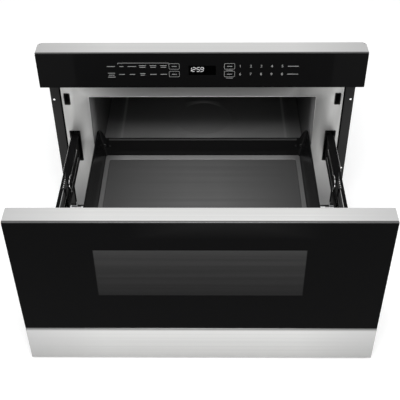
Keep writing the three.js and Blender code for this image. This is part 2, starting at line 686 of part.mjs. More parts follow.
function ballRetainer(side) {
  const x = MID_X + RAIL_T + 0.7;
  const [t, wide, length] = [0.9, 8, 190];
  const y0 = MID_Y0 + 8;
  const top = (MID_Z1 - RAIL_T + DRAWER_Z1) / 2;
  const low = (MID_Z0 + RAIL_T + DRAWER_Z0) / 2;
  let s = prism("y", mirror(side, [
    [x, low - t / 2], [x + wide, low - t / 2], [x + wide, low + t / 2], [x + t, low + t / 2],
    [x + t, top - t / 2], [x + wide, top - t / 2], [x + wide, top + t / 2], [x, top + t / 2],
  ]), y0, y0 + length);
  for (const y of [y0 + 10, y0 + 26]) {
    const notch = mirror(side, rect(x + 5.2, x + wide + 1, y, y + 8));
    s = cut(s, prism("z", notch, top - 2, top + 2));
  }
  return s;
}

function innerRail(side) {
  const lip = RAIL_X - RAIL_T - RAIL_LIP;
  const web = RAIL_X - RAIL_T;
  const foot = RACK_TOP - PINION_RIM;
  return prism("y", mirror(side, [
    [RAIL_X, foot], [RAIL_X, DRAWER_Z1], [lip, DRAWER_Z1], [lip, DRAWER_Z1 - RAIL_T],
    [web, DRAWER_Z1 - RAIL_T], [web, DRAWER_Z0 + RAIL_T], [lip, DRAWER_Z0 + RAIL_T],
    [lip, DRAWER_Z0], [web, DRAWER_Z0], [web, foot],
  ]), DOOR_BACK + CLR, RAIL_BACK);
}

// Angle from the drawer front's back to the drawer rail's web.
function railBracket(side) {
  const web = RAIL_X - RAIL_T - CLR;
  const [z0, z1] = [DRAWER_Z0 + RAIL_T + CLR, DRAWER_Z1 - RAIL_T - CLR];
  const y0 = DOOR_BACK + CLR;
  return join(
    sideBox(side, MID_X - 10, web, y0, y0 + SHEET, z0, z1),
    sideBox(side, web - SHEET, web, y0, y0 + 34, z0, z1),
  );
}

putBoth("outer_rail", outerRail, RAIL_STEEL);
putBoth("rail_mount", railMount, ZINC);
putBoth("mid_rail", midRail, RAIL_STEEL);
putBoth("ball_retainer", ballRetainer, metal(0x8e9193, 0.3));
putBoth("inner_rail", innerRail, RAIL_STEEL);
putBoth("rail_bracket", railBracket, RAIL_STEEL);

// ---------- drive, on the left ----------
const PITCH_R = (MODULE * TEETH) / 2;
const PINION_Z = PITCH_Z - PITCH_R;
const GEAR_X1 = RAIL_X - RAIL_T - CLR;
const GEAR_X0 = GEAR_X1 - GEAR_W;
// Half widths of a tooth at its root, pitch line and tip, in modules. The teeth run with backlash.
const RACK_TOOTH = [0.83, 0.4];
const PINION_TOOTH = [0.9, 0.567, 0.233];

function driveRack() {
  const pitch = Math.PI * MODULE;
  const [root, tip] = [PITCH_Z + 1.25 * MODULE, PITCH_Z - 0.9 * MODULE];
  const [from, to] = [PINION_Y - TRAVEL - 16, RAIL_BACK - 2];
  const first = Math.ceil((from + 3 - PINION_Y) / pitch - 0.5);
  const last = Math.floor((to - 3 - PINION_Y) / pitch - 0.5);
  const outline = [[from, RACK_TOP], [from, root]];
  // at rest the gap between two teeth stands over the pinion's axis
  for (let n = first; n <= last; n++) {
    const y = PINION_Y + (n + 0.5) * pitch;
    const [a, b] = RACK_TOOTH.map((w) => w * MODULE);
    outline.push([y - a, root], [y - b, tip], [y + b, tip], [y + a, root]);
  }
  outline.push([to, root], [to, RACK_TOP]);
  return prism("x", outline, -GEAR_X1, -GEAR_X0);
}

function drivePinion() {
  const radii = [PITCH_R - 1.3 * MODULE, PITCH_R, PITCH_R + 0.8 * MODULE];
  const flank = radii.map((r, i) => [r, (PINION_TOOTH[i] * MODULE) / r]);
  const tooth = [...flank.map(([r, t]) => [r, -t]), ...flank.reverse().map(([r, t]) => [r, t])];
  const outline = [];
  // at rest one tooth points straight up
  for (let i = 0; i < TEETH; i++) {
    const turn = Math.PI / 2 + (2 * Math.PI * i) / TEETH;
    for (const [r, t] of tooth) {
      outline.push([PINION_Y + r * Math.cos(turn + t), PINION_Z + r * Math.sin(turn + t)]);
    }
  }
  const centre = [0, PINION_Y, PINION_Z];
  return join(
    prism("x", outline, -GEAR_X1 + 2 * CLR, -GEAR_X0 - 2 * CLR),
    disc("x", centre, SPINDLE_R, -GEAR_X0 - 1, -(FIX_X - 6), 12),
  );
}

function driveMotor() {
  const half = PITCH_R + 5;
  const canX = -(CAV_OUT + 13);
  const canZ = PINION_Z - 4;
  const body = join(
    box(-(GEAR_X0 - 2.5), -CAV_OUT, PINION_Y - half, PINION_Y + half, PINION_Z - half, FIX_Z0 - 1),
    disc("y", [canX, 0, canZ], 12, PINION_Y + half - 1, PINION_Y + half + 55, 20),
    disc("y", [canX, 0, canZ], 4, PINION_Y + half + 54, PINION_Y + half + 59, 12),
  );
  return cut(body, disc("x", [0, PINION_Y, PINION_Z], SPINDLE_R + 0.6, -(GEAR_X0 + 1), -(FIX_X - 8), 12));
}

put("drive_rack", driveRack(), CREAM_PLASTIC);
put("drive_pinion", drivePinion(), CREAM_PLASTIC);
put("drive_motor", driveMotor(), BLACK_PLASTIC);

// ---------- latches ----------
function latchHousing(side) {
  const wall = 2;
  const y0 = FRAME_BACK + CLR;
  const x0 = LATCH_X0 - 2;
  const x1 = LATCH_X1 + 2.2;
  const [z0, z1] = [LATCH_Z0 - 4, LATCH_Z1 + 4];
  return cut(
    sideBox(side, x0 - wall, x1, y0, HOOK_LEN + 16, z0, z1),
    sideBox(side, x0, x1 - wall, y0 - 1, HOOK_LEN - 2, z0 + wall, z1 - wall),
  );
}

function latchHook(side) {
  const y0 = DOOR_BACK + CLR;
  const tip = DOOR_BACK + HOOK_LEN;
  const [low, high] = [LATCH_Z0 + 3, LATCH_Z1 - 2.5];
  const inset = 1.5;
  const outline = [
    [y0 + 1, low], [tip - 3, low], [tip, low + 3], [tip, high - 3.5], [tip - 5, high],
    [tip - 8, high], [tip - 8, high - 4.5], [y0 + 1, high - 4.5],
  ];
  return join(
    sideBox(side, LATCH_X0 - 4, LATCH_X1 + 2, y0, y0 + 1.6, LATCH_Z0 - 4, LATCH_Z1 + 4),
    prism("x", outline, ...span(side, LATCH_X0 + inset, LATCH_X1 - inset)),
  );
}

putBoth("latch_housing", latchHousing, BLACK_PLASTIC);
putBoth("latch_hook", latchHook, CREAM_PLASTIC);

// ---------- drawer front ----------
const GLASS_BACK = DOOR_Y + GLASS_T;
const DOOR_CAP_Z = DOOR_Z1 - CAP_T;
const STRIP_Z1 = SILL + STRIP_H;
const SHELL_X = FRONT_X - 1;
const SHELL_Z0 = SILL + 1;
const SHELL_Z1 = DOOR_CAP_Z - CLR;
const SHELL_Y0 = GLASS_BACK + CLR;
const HOLE_X = WINDOW_W / 2 + 4;
const HOLE_Z0 = SILL + WINDOW_RISE - 4;
const HOLE_Z1 = HOLE_Z0 + WINDOW_H + 8;

function doorGlass() {
  return prism("y", rect(-FRONT_X, FRONT_X, STRIP_Z1 + CLR, DOOR_CAP_Z - CLR), DOOR_Y, GLASS_BACK);
}

function doorBottomStrip() {
  const front = DOOR_Y - STRIP_PROUD;
  return prism("x", [
    [GLASS_BACK, SILL], [front, SILL], [front, STRIP_Z1 - STRIP_PROUD], [DOOR_Y, STRIP_Z1],
    [GLASS_BACK, STRIP_Z1],
  ], -FRONT_X, FRONT_X);
}

function doorTopCap() {
  return prism("x", [
    [DOOR_Y, DOOR_CAP_Z], [DOOR_Y, DOOR_Z1 - CAP_T / 2], [DOOR_Y + 1.2, DOOR_Z1],
    [DOOR_BACK, DOOR_Z1], [DOOR_BACK, DOOR_CAP_Z],
  ], -FRONT_X, FRONT_X);
}

function doorFrame() {
  const back = DOOR_BACK - SHEET - CLR;
  const face = rect(-SHELL_X, SHELL_X, SHELL_Z0, SHELL_Z1);
  const inside = rect(-SHELL_X + SHEET, SHELL_X - SHEET, SHELL_Z0 + SHEET, SHELL_Z1 - SHEET);
  const hole = rounded(-HOLE_X, HOLE_X, HOLE_Z0, HOLE_Z1, 5);
  return join(
    prism("y", face, SHELL_Y0, SHELL_Y0 + SHEET, [hole]),
    prism("y", face, SHELL_Y0, back, [inside]),
  );
}

// Where a sheet overlaps the window's hole all round.
const lapped = (lift) =>
  rect(-HOLE_X - WINDOW_LAP, HOLE_X + WINDOW_LAP, HOLE_Z0 + lift - WINDOW_LAP, HOLE_Z1 + WINDOW_LAP);
const BACK_HOLE_LIFT = 20;

function doorScreen() {
  const y0 = SHELL_Y0 + SHEET + CLR;
  return prism("y", lapped(0), y0, y0 + 0.8);
}

function doorBackPanel() {
  const hole = rounded(-HOLE_X, HOLE_X, HOLE_Z0 + BACK_HOLE_LIFT, HOLE_Z1, 5);
  return prism("y", rect(-SHELL_X, SHELL_X, SHELL_Z0, SHELL_Z1), DOOR_BACK - SHEET, DOOR_BACK, [hole]);
}

function doorInnerPane() {
  const y1 = DOOR_BACK - SHEET - CLR;
  return prism("y", lapped(BACK_HOLE_LIFT), y1 - 2, y1);
}

function doorChoke() {
  const ring = (grow, r) =>
    rounded(-CAV_X - grow, CAV_X + grow, CAV_Z0 - grow, CAV_Z1 + grow, r);
  return prism("y", ring(1 + CHOKE_W, 5), DOOR_BACK + CLR, DOOR_BACK + CLR + CHOKE_T, [ring(1, 3)]);
}

put("door_glass", doorGlass(), BLACK_GLASS);
put("door_bottom_strip", doorBottomStrip(), STAINLESS);
put("door_top_cap", doorTopCap(), STAINLESS);
put("door_frame", doorFrame(), DARK_STEEL);
put("door_screen", doorScreen(), DARK_STEEL);
put("door_back_panel", doorBackPanel(), DARK_STEEL);
put("door_inner_pane", doorInnerPane(), plain(0x1a1b1c, 0.1));
put("door_choke", doorChoke(), BLACK_PLASTIC);

// ---------- tray ----------
const TRAY_Z0 = CAV_Z0 + TRAY_LIFT;
const TRAY_FLOOR = TRAY_Z0 + TRAY_STACK;
const TRAY_TOP = TRAY_FLOOR + TRAY_SIDE_H;
const BACK_TOP = TRAY_FLOOR + TRAY_BACK_H;
const TRAY_FRONT = DOOR_BACK + CLR;
const TRAY_BACK = CAV_D - TRAVEL - TRAY_BACK_GAP;   // rear wall's inner face, drawer out
const TRAY_TOP_X = CAV_X - TRAY_SIDE_GAP;

// The tray's outer half width at a height.
const trayX = (z) => TRAY_TOP_X - (TRAY_DRAFT * (TRAY_TOP - z)) / TRAY_SIDE_H;
const trayOutline = (z0, z1, inset) =>
  [[-trayX(z0) + inset, z0], [trayX(z0) - inset, z0], [trayX(z1) - inset, z1], [-trayX(z1) + inset, z1]];

function drawerTray() {
  const outerBack = TRAY_BACK + TRAY_T;
  const low = trayX(BACK_TOP) - EAR_W;      // half width of the low stretch of rear wall
  const high = low + EAR_RUN;
  const beadD = 2.6;                        // turned-over bead along that stretch
  const beadH = 3;
  return join(
    cut(
      prism("y", trayOutline(TRAY_Z0, TRAY_TOP, 0), TRAY_FRONT, outerBack),
      prism("y", trayOutline(TRAY_Z0 + TRAY_T, TRAY_TOP + 5, TRAY_T), TRAY_FRONT + TRAY_T, TRAY_BACK),
      prism("y", [[-low, BACK_TOP], [low, BACK_TOP], [high, TRAY_TOP + 3], [-high, TRAY_TOP + 3]],
        TRAY_BACK - 0.5, outerBack + 1),
    ),
    prism("y", rect(-low + 4, low - 4, BACK_TOP - beadH, BACK_TOP), TRAY_BACK, outerBack + beadD),
  );
}

const FLOOR_X = TRAY_TOP_X - TRAY_DRAFT - TRAY_T - RIM_W;
const FLOOR_Y0 = TRAY_FRONT + TRAY_T + RIM_FRONT;
const FLOOR_Y1 = TRAY_BACK - RIM_BACK;

function trayRim() {
  const [z0, z1] = [TRAY_Z0 + TRAY_T + CLR, TRAY_FLOOR - 0.2];
  const ledge = RIM_LEDGE;
  return cut(
    prism("y", trayOutline(z0, z1, TRAY_T + CLR), TRAY_FRONT + TRAY_T + CLR, TRAY_BACK - CLR),
    box(-FLOOR_X + ledge, FLOOR_X - ledge, FLOOR_Y0 + ledge, FLOOR_Y1 - ledge, z0 - 1, z1 + 1),
    box(-FLOOR_X, FLOOR_X, FLOOR_Y0, FLOOR_Y1, TRAY_FLOOR - FLOOR_T - CLR, z1 + 1),
  );
}

function glassFloor() {
  const outline = rect(-FLOOR_X + CLR, FLOOR_X - CLR, FLOOR_Y0 + CLR, FLOOR_Y1 - CLR);
  return prism("z", outline, TRAY_FLOOR - FLOOR_T, TRAY_FLOOR);
}

function trayScrew(side) {
  const [r, head] = [3.4, 1.9];
  const y1 = TRAY_BACK - CLR;
  return turned("y", [side * (trayX(BACK_TOP) - EAR_W / 2), 0, TRAY_FLOOR + 26], [
    [0, y1 - head], [r * 0.65, y1 - head * 0.75], [r, y1 - head * 0.25], [r, y1], [0, y1],
  ], 14);
}

put("drawer_tray", drawerTray(), ENAMEL);
put("tray_rim", trayRim(), plain(0x6f7071, 0.5));
put("glass_floor", glassFloor(), plain(0x4a4a4b, 0.12));
putBoth("tray_screw", trayScrew, metal(0x9a9c9e, 0.3));

export default root;
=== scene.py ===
"""Looks for the under-counter microwave drawer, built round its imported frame.

The frame's axes: +X right, +Y into the cabinet, +Z up. Sizes and places of shapes and zones are
written in millimetres, and MM makes them Blender's metres; shader lengths and the studio are in
metres. The drawer is drawn fully out, as it is stored.
"""

import math

import bmesh
import bpy
import numpy as np
from mathutils import Euler, Matrix, Vector


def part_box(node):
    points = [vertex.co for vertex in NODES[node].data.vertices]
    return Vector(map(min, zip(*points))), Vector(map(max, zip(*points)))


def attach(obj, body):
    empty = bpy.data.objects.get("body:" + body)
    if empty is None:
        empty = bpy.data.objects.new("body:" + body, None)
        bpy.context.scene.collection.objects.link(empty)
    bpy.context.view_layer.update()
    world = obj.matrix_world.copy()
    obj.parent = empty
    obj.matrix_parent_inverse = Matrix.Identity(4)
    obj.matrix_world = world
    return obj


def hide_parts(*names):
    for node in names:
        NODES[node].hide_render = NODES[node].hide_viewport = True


MM = 0.001
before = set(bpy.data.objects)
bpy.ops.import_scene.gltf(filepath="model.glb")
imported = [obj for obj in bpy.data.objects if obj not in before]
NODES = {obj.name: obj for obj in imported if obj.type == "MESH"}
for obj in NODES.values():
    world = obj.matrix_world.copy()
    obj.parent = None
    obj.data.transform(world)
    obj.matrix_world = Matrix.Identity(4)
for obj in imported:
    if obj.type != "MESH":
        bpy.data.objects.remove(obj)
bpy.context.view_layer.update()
SIDES = (("left", -1), ("right", 1))


# ---------------------------------------------------------------- places, in mm
def span(node_name, axis, inset=0.0):
    """The two ends of a CAD node at rest along an axis, drawn in by inset, to 0.01 mm."""
    low, high = (corner["xyz".index(axis)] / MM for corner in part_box(node_name))
    return round(low + inset, 2), round(high - inset, 2)


FRONT_X = span("control_top_cap", "x")[1]
DOOR_Y, DOOR_BACK = span("door_top_cap", "y")
DOOR_TOP = span("door_top_cap", "z")[1]
PANEL_Y = span("control_glass", "y")[0]
FRAME_Y = span("front_frame", "y")[0]
CAVITY_WALL = 1.2
CAVITY_X = span("cavity_shell", "x", CAVITY_WALL)[1]
CAVITY_LOW, CAVITY_TOP = span("cavity_shell", "z", CAVITY_WALL)
SLIDE_SLOT = (247.6, 267.6, 131.2, 205.0)    # the right one: low x, high x, low z, high z
LATCH_SLOT = (258.9, 269.0, 268.4, 293.0)
MID_X, MID_TIP = span("mid_rail_right", "x")
MID_FRONT, MID_BACK = span("mid_rail_right", "y")
MID_LOW, MID_HIGH = span("mid_rail_right", "z")
RAIL_X = span("inner_rail_right", "x")[1]
RAIL_FRONT, RAIL_BACK = span("inner_rail_right", "y")
RAIL_LOW, RAIL_TOP = span("inner_rail_right", "z")
TRAY_X = span("drawer_tray", "x")[1]
TRAY_LOW, TRAY_TOP = span("drawer_tray", "z")
TRAY_FRONT = span("drawer_tray", "y")[0]
TRAY_BACK = 37.6                             # outer face of the rear wall
TRAY_T = 1.6
GLASS_LOW, GLASS_TOP = span("glass_floor", "z")
CASE_X = span("rear_cover", "x")[1]
CASE_TOP = span("case_wrap", "z")[1]
CASE_BACK = span("rear_cover", "y")[1]
STIRRER_Y = 205.0


# ---------------------------------------------------------------- shapes
def mesh(name, parts, body, finish, slot, replaces=(), crease=38):
    """One object from (points in mm, faces) pairs, closed shells turned outwards."""
    points, faces, start = [], [], 0
    for at, quads in parts:
        points.append(at)
        faces += [[start + int(i) for i in face] for face in quads]
        start += len(at)
    data = bpy.data.meshes.new(name)
    data.from_pydata((np.concatenate(points) * MM).tolist(), [], faces)
    work = bmesh.new()
    work.from_mesh(data)
    bmesh.ops.remove_doubles(work, verts=work.verts, dist=1e-7)
    bmesh.ops.recalc_face_normals(work, faces=work.faces)
    work.to_mesh(data)
    work.free()
    data.shade_smooth()
    data.set_sharp_from_angle(angle=math.radians(crease))
    piece = bpy.data.objects.new(name, data)
    bpy.context.scene.collection.objects.link(piece)
    data.materials.append(finish.material)
    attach(piece, body)
    if replaces:
        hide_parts(*replaces)
    return piece


def mesh_pairs(body, *pieces):
    """Right-hand pieces on one body, each as mesh() takes it but without the body, and their mirror
    images; {} in the body's or a replaced node's name stands for the side."""
    for label, side in SIDES:
        for name, parts, finish, slot, *more in pieces:
            here = parts if side > 0 else mirrored(parts)
            replaces = [other.format(label) for other in (more[0] if more else ())]
            mesh(f"{name}_{label}", here, body.format(label), finish, slot, replaces, *more[1:])


def grid(at, around=False, lids=True):
    """Quads over points at[row, column]; around joins the last column to the first, lids close
    the first and last row with one flat face each."""
    rows, cols = at.shape[:2]
    row, col = np.meshgrid(np.arange(rows - 1), np.arange(cols if around else cols - 1), indexing="ij")
    after = (col + 1) % cols
    quads = np.stack([row * cols + col, row * cols + after,
                      (row + 1) * cols + after, (row + 1) * cols + col], -1).reshape(-1, 4)
    faces = quads.tolist()
    if around and lids:
        faces.append(list(range(cols))[::-1])
        faces.append(list(range((rows - 1) * cols, rows * cols)))
    return at.reshape(-1, 3), faces


def to_axis(axis, along, a, b):
    """Puts a section's (a, b) and its place along an axis into x, y, z."""
    order = {"x": (along, a, b), "y": (a, along, b), "z": (a, b, along)}[axis]
    return np.stack(np.broadcast_arrays(*order), -1)


def circle(steps):
    """Angles evenly spaced over a full turn, the end left out."""
    return np.linspace(0, 2 * np.pi, steps, endpoint=False)


def unit(vectors):
    """Each vector divided by its length."""
    return vectors / np.maximum(np.linalg.norm(vectors, axis=-1, keepdims=True), 1e-9)


def outward(outline):
    """The direction out of a closed outline at each point: square to the line between the point's
    two neighbours, to the side that the outline's signed area gives."""
    x, z = outline.T
    along = unit(np.roll(outline, -1, 0) - np.roll(outline, 1, 0))
    area = np.sum(x * np.roll(z, -1) - np.roll(x, -1) * z)
    return np.stack([along[:, 1], -along[:, 0]], -1) * (1 if area > 0 else -1)


def rectangle(a0, a1, b0, b1):
    return [(a0, b0), (a1, b0), (a1, b1), (a0, b1)]


def corner_curves(before, corners, after, radius, steps):
    """Each corner C, with A and B at distance radius along its two sides, becomes the curve
    (1-t)^2 A + 2t(1-t) C + t^2 B."""
    a = corners + unit(before - corners) * radius
    b = corners + unit(after - corners) * radius
    a, b, c = a[:, None], b[:, None], corners[:, None]
    t = np.linspace(0, 1, steps + 1)[None, :, None]
    return ((1 - t) ** 2 * a + 2 * t * (1 - t) * c + t ** 2 * b).reshape(-1, 2)


def eased(corners, radius, steps=4):
    """A closed outline whose corners are curves; radius is one length, or one for each corner."""
    c = np.asarray(corners, float)
    r = np.broadcast_to(np.asarray(radius, float), len(c))[:, None]
    return corner_curves(np.roll(c, 1, 0), c, np.roll(c, -1, 0), r, steps)


def bent_sheet(line, thick, bend, steps=4):
    """Outline of a bent sheet: the centre line's corners are curves, and the line is moved half a
    thickness to each side along its normals; each cut end gets a point that rounds it."""
    c = np.asarray(line, float)
    curves = corner_curves(c[:-2], c[1:-1], c[2:], bend, steps)
    mid = np.concatenate([c[:1], curves, c[-1:]])
    along = unit(np.gradient(mid, axis=0))
    side = np.stack([-along[:, 1], along[:, 0]], -1) * thick / 2
    tip = along * thick * 0.3
    return np.concatenate([mid[:1] - tip[:1], mid + side, mid[-1:] + tip[-1:], (mid - side)[::-1]])


def carried(outlines, axis, stations):
    """Closed outlines, one for each station along an axis, joined into a skin with flat ends."""
    s = np.asarray(stations, float)[:, None]
    return grid(to_axis(axis, s, outlines[..., 0], outlines[..., 1]), around=True)


def bar(outline, axis, start, end, r=0.5):
    """An outline carried from start to end with both ends rounded: at angle t of a quarter turn it
    stands r (1 - cos t) from the end and is drawn in along its normals by r (1 - sin t)."""
    o = np.asarray(outline, float)
    t = np.linspace(0, np.pi / 2, 4)
    reach, draw = r * (1 - np.cos(t)), r * (1 - np.sin(t))
    drawn_in = np.concatenate([draw, draw[::-1]])[:, None, None]
    return carried(o - outward(o) * drawn_in, axis, np.concatenate([start + reach, (end - reach)[::-1]]))


def turned(profile, centre, axis, steps=28):
    """A profile of (radius, height) turned about an axis: point = centre + (r cos u, r sin u, h)."""
    p = np.asarray(profile, float)
    u = circle(steps)[None]
    at = to_axis(axis, p[:, 1:2] + 0 * u, p[:, :1] * np.cos(u), p[:, :1] * np.sin(u))
    return grid(at + np.asarray(centre, float), around=True)


def wire(path, r, steps=6):
    """A round wire of radius r along a path: each ring lies square to the path's tangent, on the
    two directions got by crossing it with a fixed one and with the result."""
    p = np.asarray(path, float)
    along = unit(np.gradient(p, axis=0))
    side = unit(np.cross(along, (0.37, 0.11, 0.92)))
    up = np.cross(side, along)
    t = circle(steps)[None, :, None]
    return grid(p[:, None] + r * (np.cos(t) * side[:, None] + np.sin(t) * up[:, None]), around=True)


def ring_round(outline, section):
    """A small section carried round a closed outline in the x-z plane: each section point (o, d)
    stands o outside the outline and at depth y = d."""
    o = np.asarray(outline, float)
    s = np.asarray(section, float)
    flat = o[:, None] + outward(o)[:, None] * s[None, :, :1]
    at = to_axis("y", s[None, :, 1], flat[..., 0], flat[..., 1])
    return grid(np.concatenate([at, at[:1]]), around=True, lids=False)


def ball(r, rows=5, cols=8):
    """A small ball over latitude v and longitude u, its poles closed by small flat faces."""
    v = np.linspace(-np.pi / 2 + 0.3, np.pi / 2 - 0.3, rows)[:, None]
    u = circle(cols)[None]
    return grid(r * to_axis("z", np.sin(v), np.cos(v) * np.cos(u), np.cos(v) * np.sin(u)), around=True)


def copies(part, centres):
    """The same part at each centre."""
    points, faces = part
    centres = np.asarray(centres, float)
    count = len(points)
    moved = (centres[:, None] + points[None]).reshape(-1, 3)
    stacked = [[i * count + j for j in face] for i in range(len(centres)) for face in faces]
    return moved, stacked


def mirrored(parts):
    """The same parts on the other side of the middle plane."""
    return [(points * (-1, 1, 1), faces) for points, faces in parts]


def swapped(part, order):
    """The same part with its axes in another order."""
    return part[0][:, order], part[1]


def flat_on(axis, level, outlines):
    """Thin flat patches, each a closed outline at one level along an axis."""
    made = []
    for outline in outlines:
        o = np.asarray(outline, float)
        made.append((to_axis(axis, level, o[:, 0], o[:, 1]), [list(range(len(o)))]))
    return made


# ---------------------------------------------------------------- shader building
def node(tree, kind, inputs=None, **settings):
    """Adds a shader node; an input given as a socket is linked, any other is set as a value."""
    made = tree.nodes.new(kind)
    for key, value in settings.items():
        setattr(made, key, value)
    for key, value in (inputs or {}).items():
        if isinstance(value, bpy.types.NodeSocket):
            tree.links.new(value, made.inputs[key])
        else:
            made.inputs[key].default_value = value
    return made


def maths(tree, operation, a, b=0.0, clamp=False):
    return node(tree, "ShaderNodeMath", {0: a, 1: b}, operation=operation, use_clamp=clamp).outputs[0]


def vector_maths(tree, operation, a, b=(0.0, 0.0, 0.0)):
    """The result as a vector, or as a number where the operation gives one."""
    outputs = node(tree, "ShaderNodeVectorMath", {0: a, 1: b}, operation=operation).outputs
    return outputs["Value" if operation in ("DOT_PRODUCT", "LENGTH") else "Vector"]


def noise(tree, place, scale, detail, roughness=0.5):
    inputs = {"Vector": place, "Scale": scale, "Detail": detail, "Roughness": roughness}
    return node(tree, "ShaderNodeTexNoise", inputs).outputs[0]


def spread(tree, value, low, high):
    """Maps 0..1 to low..high."""
    return node(tree, "ShaderNodeMapRange", {"Value": value, "To Min": low, "To Max": high}).outputs[0]


def share_of(tree, value, low, high):
    """Maps low..high to 0..1."""
    return node(tree, "ShaderNodeMapRange", {"Value": value, "From Min": low, "From Max": high}).outputs[0]


def effect(name, build, outputs, **inputs):
    """A shared shader node group: build(tree, given) returns its outputs by name. Each takes Place,
    the point on the object, and further inputs with these values, tuples being vectors."""
    tree = bpy.data.node_groups.new(name, "ShaderNodeTree")
    tree.interface.new_socket(name="Place", in_out="INPUT", socket_type="NodeSocketVector")
    for label, value in inputs.items():
        kind = "NodeSocketVector" if isinstance(value, tuple) else "NodeSocketFloat"
        tree.interface.new_socket(name=label, in_out="INPUT", socket_type=kind).default_value = value
    for label in outputs:
        tree.interface.new_socket(name=label, in_out="OUTPUT", socket_type="NodeSocketFloat")
    results = build(tree, tree.nodes.new("NodeGroupInput").outputs)
    out = tree.nodes.new("NodeGroupOutput")
    for label, socket in results.items():
        tree.links.new(socket, out.inputs[label])
    return tree


def build_brushing(tree, given):
    """Long scratches: noise that is stretched along one axis, in two sizes."""
    stretched = vector_maths(tree, "MULTIPLY", given["Place"], given["Stretch"])
    fine = noise(tree, stretched, 1.0, 4.0, 0.7)
    broad = noise(tree, stretched, 0.13, 2.0)
    streak = node(tree, "ShaderNodeMix", {"Factor": 0.35, "A": fine, "B": broad}).outputs[0]
    return {"Streak": streak, "Height": fine}


def build_grain(tree, given):
    """Moulded or painted skin: fine noise for height, slow noise for patches of tone."""
    return {"Patch": noise(tree, given["Place"], given["Slow"], 4.0),
            "Height": noise(tree, given["Place"], given["Fine"], 3.0)}


def build_edge_wear_and_glint(tree, given):
    """Lighter edges, as worn finish on dark steel and as painted highlights on the rails: how far the
    rounded normal leans from the true one, broken up by noise."""
    true = node(tree, "ShaderNodeNewGeometry").outputs["Normal"]
    rounded = node(tree, "ShaderNodeBevel", {"Radius": given["Reach"]}, samples=4).outputs[0]
    lean = vector_maths(tree, "DOT_PRODUCT", true, rounded)
    away = maths(tree, "MULTIPLY", maths(tree, "SUBTRACT", 1.0, lean), 5.0, True)
    broken = share_of(tree, noise(tree, given["Place"], 240.0, 3.0), 0.35, 0.6)
    return {"Mask": maths(tree, "MULTIPLY", away, maths(tree, "MULTIPLY", broken, given["Amount"]), True)}


def build_holes(tree, given):
    """Round holes in staggered rows over x and z: the nearer of two lattices, half a cell apart,
    whose cells are the square root of 3 times as tall as wide."""
    x, _, z = node(tree, "ShaderNodeSeparateXYZ", {0: given["Place"]}).outputs
    tall = maths(tree, "MULTIPLY", given["Pitch"], 3 ** 0.5)
    nearest = None
    for shift in (0.0, 0.5):
        parts = []
        for value, pitch in ((x, given["Pitch"]), (z, tall)):
            cell = maths(tree, "ADD", maths(tree, "DIVIDE", value, pitch), shift + 100.0)
            off = maths(tree, "SUBTRACT", maths(tree, "FRACT", cell), 0.5)
            parts.append(maths(tree, "POWER", maths(tree, "MULTIPLY", off, pitch), 2.0))
        away = maths(tree, "SQRT", maths(tree, "ADD", *parts))
        nearest = away if nearest is None else maths(tree, "MINIMUM", nearest, away)
    return {"Mask": share_of(tree, nearest, given["Radius"], maths(tree, "MULTIPLY", given["Radius"], 0.75))}


def build_zone(tree, given):
    """1 inside a box of half-size Half round Middle, falling to 0 over Soft past each of its sides."""
    off = vector_maths(tree, "SUBTRACT", given["Place"], given["Middle"])
    past = vector_maths(tree, "SUBTRACT", vector_maths(tree, "ABSOLUTE", off), given["Half"])
    shares = vector_maths(tree, "DIVIDE", past, given["Soft"])
    x, y, z = node(tree, "ShaderNodeSeparateXYZ", {0: shares}).outputs
    most = maths(tree, "MAXIMUM", x, maths(tree, "MAXIMUM", y, z))
    return {"Mask": maths(tree, "SUBTRACT", 1.0, most, True)}


def build_bands(tree, given):
    """Faint uneven stripes across one axis: slow noise stretched along the stripes."""
    stretched = vector_maths(tree, "MULTIPLY", given["Place"], given["Stretch"])
    return {"Band": share_of(tree, noise(tree, stretched, 1.0, 2.0), 0.35, 0.65)}


BRUSHING = effect("brushing", build_brushing, ("Streak", "Height"), Stretch=(4.0, 900.0, 900.0))
GRAIN = effect("skin_grain", build_grain, ("Patch", "Height"), Fine=900.0, Slow=12.0)
EDGE_WEAR_AND_GLINT = effect("edge_wear_and_glints", build_edge_wear_and_glint, ("Mask",), Reach=0.0008, Amount=1.0)
HOLES = effect("hole_rows", build_holes, ("Mask",), Pitch=0.0024, Radius=0.0008)
ZONE = effect("soft_zone", build_zone, ("Mask",), Middle=(0.0, 0.0, 0.0), Half=(9.0, 9.0, 9.0),
              Soft=(0.01, 0.01, 0.01))
BANDS = effect("faint_bands", build_bands, ("Band",), Stretch=(1.0, 20.0, 90.0))


def rgb(colour):
    """A colour as three numbers, where one number is a grey."""
    return tuple(float(v) for v in np.broadcast_to(colour, 3))


NO_LIMIT = (0.0, 9000.0, 1000.0)             # an axis of a zone that reaches past the whole object


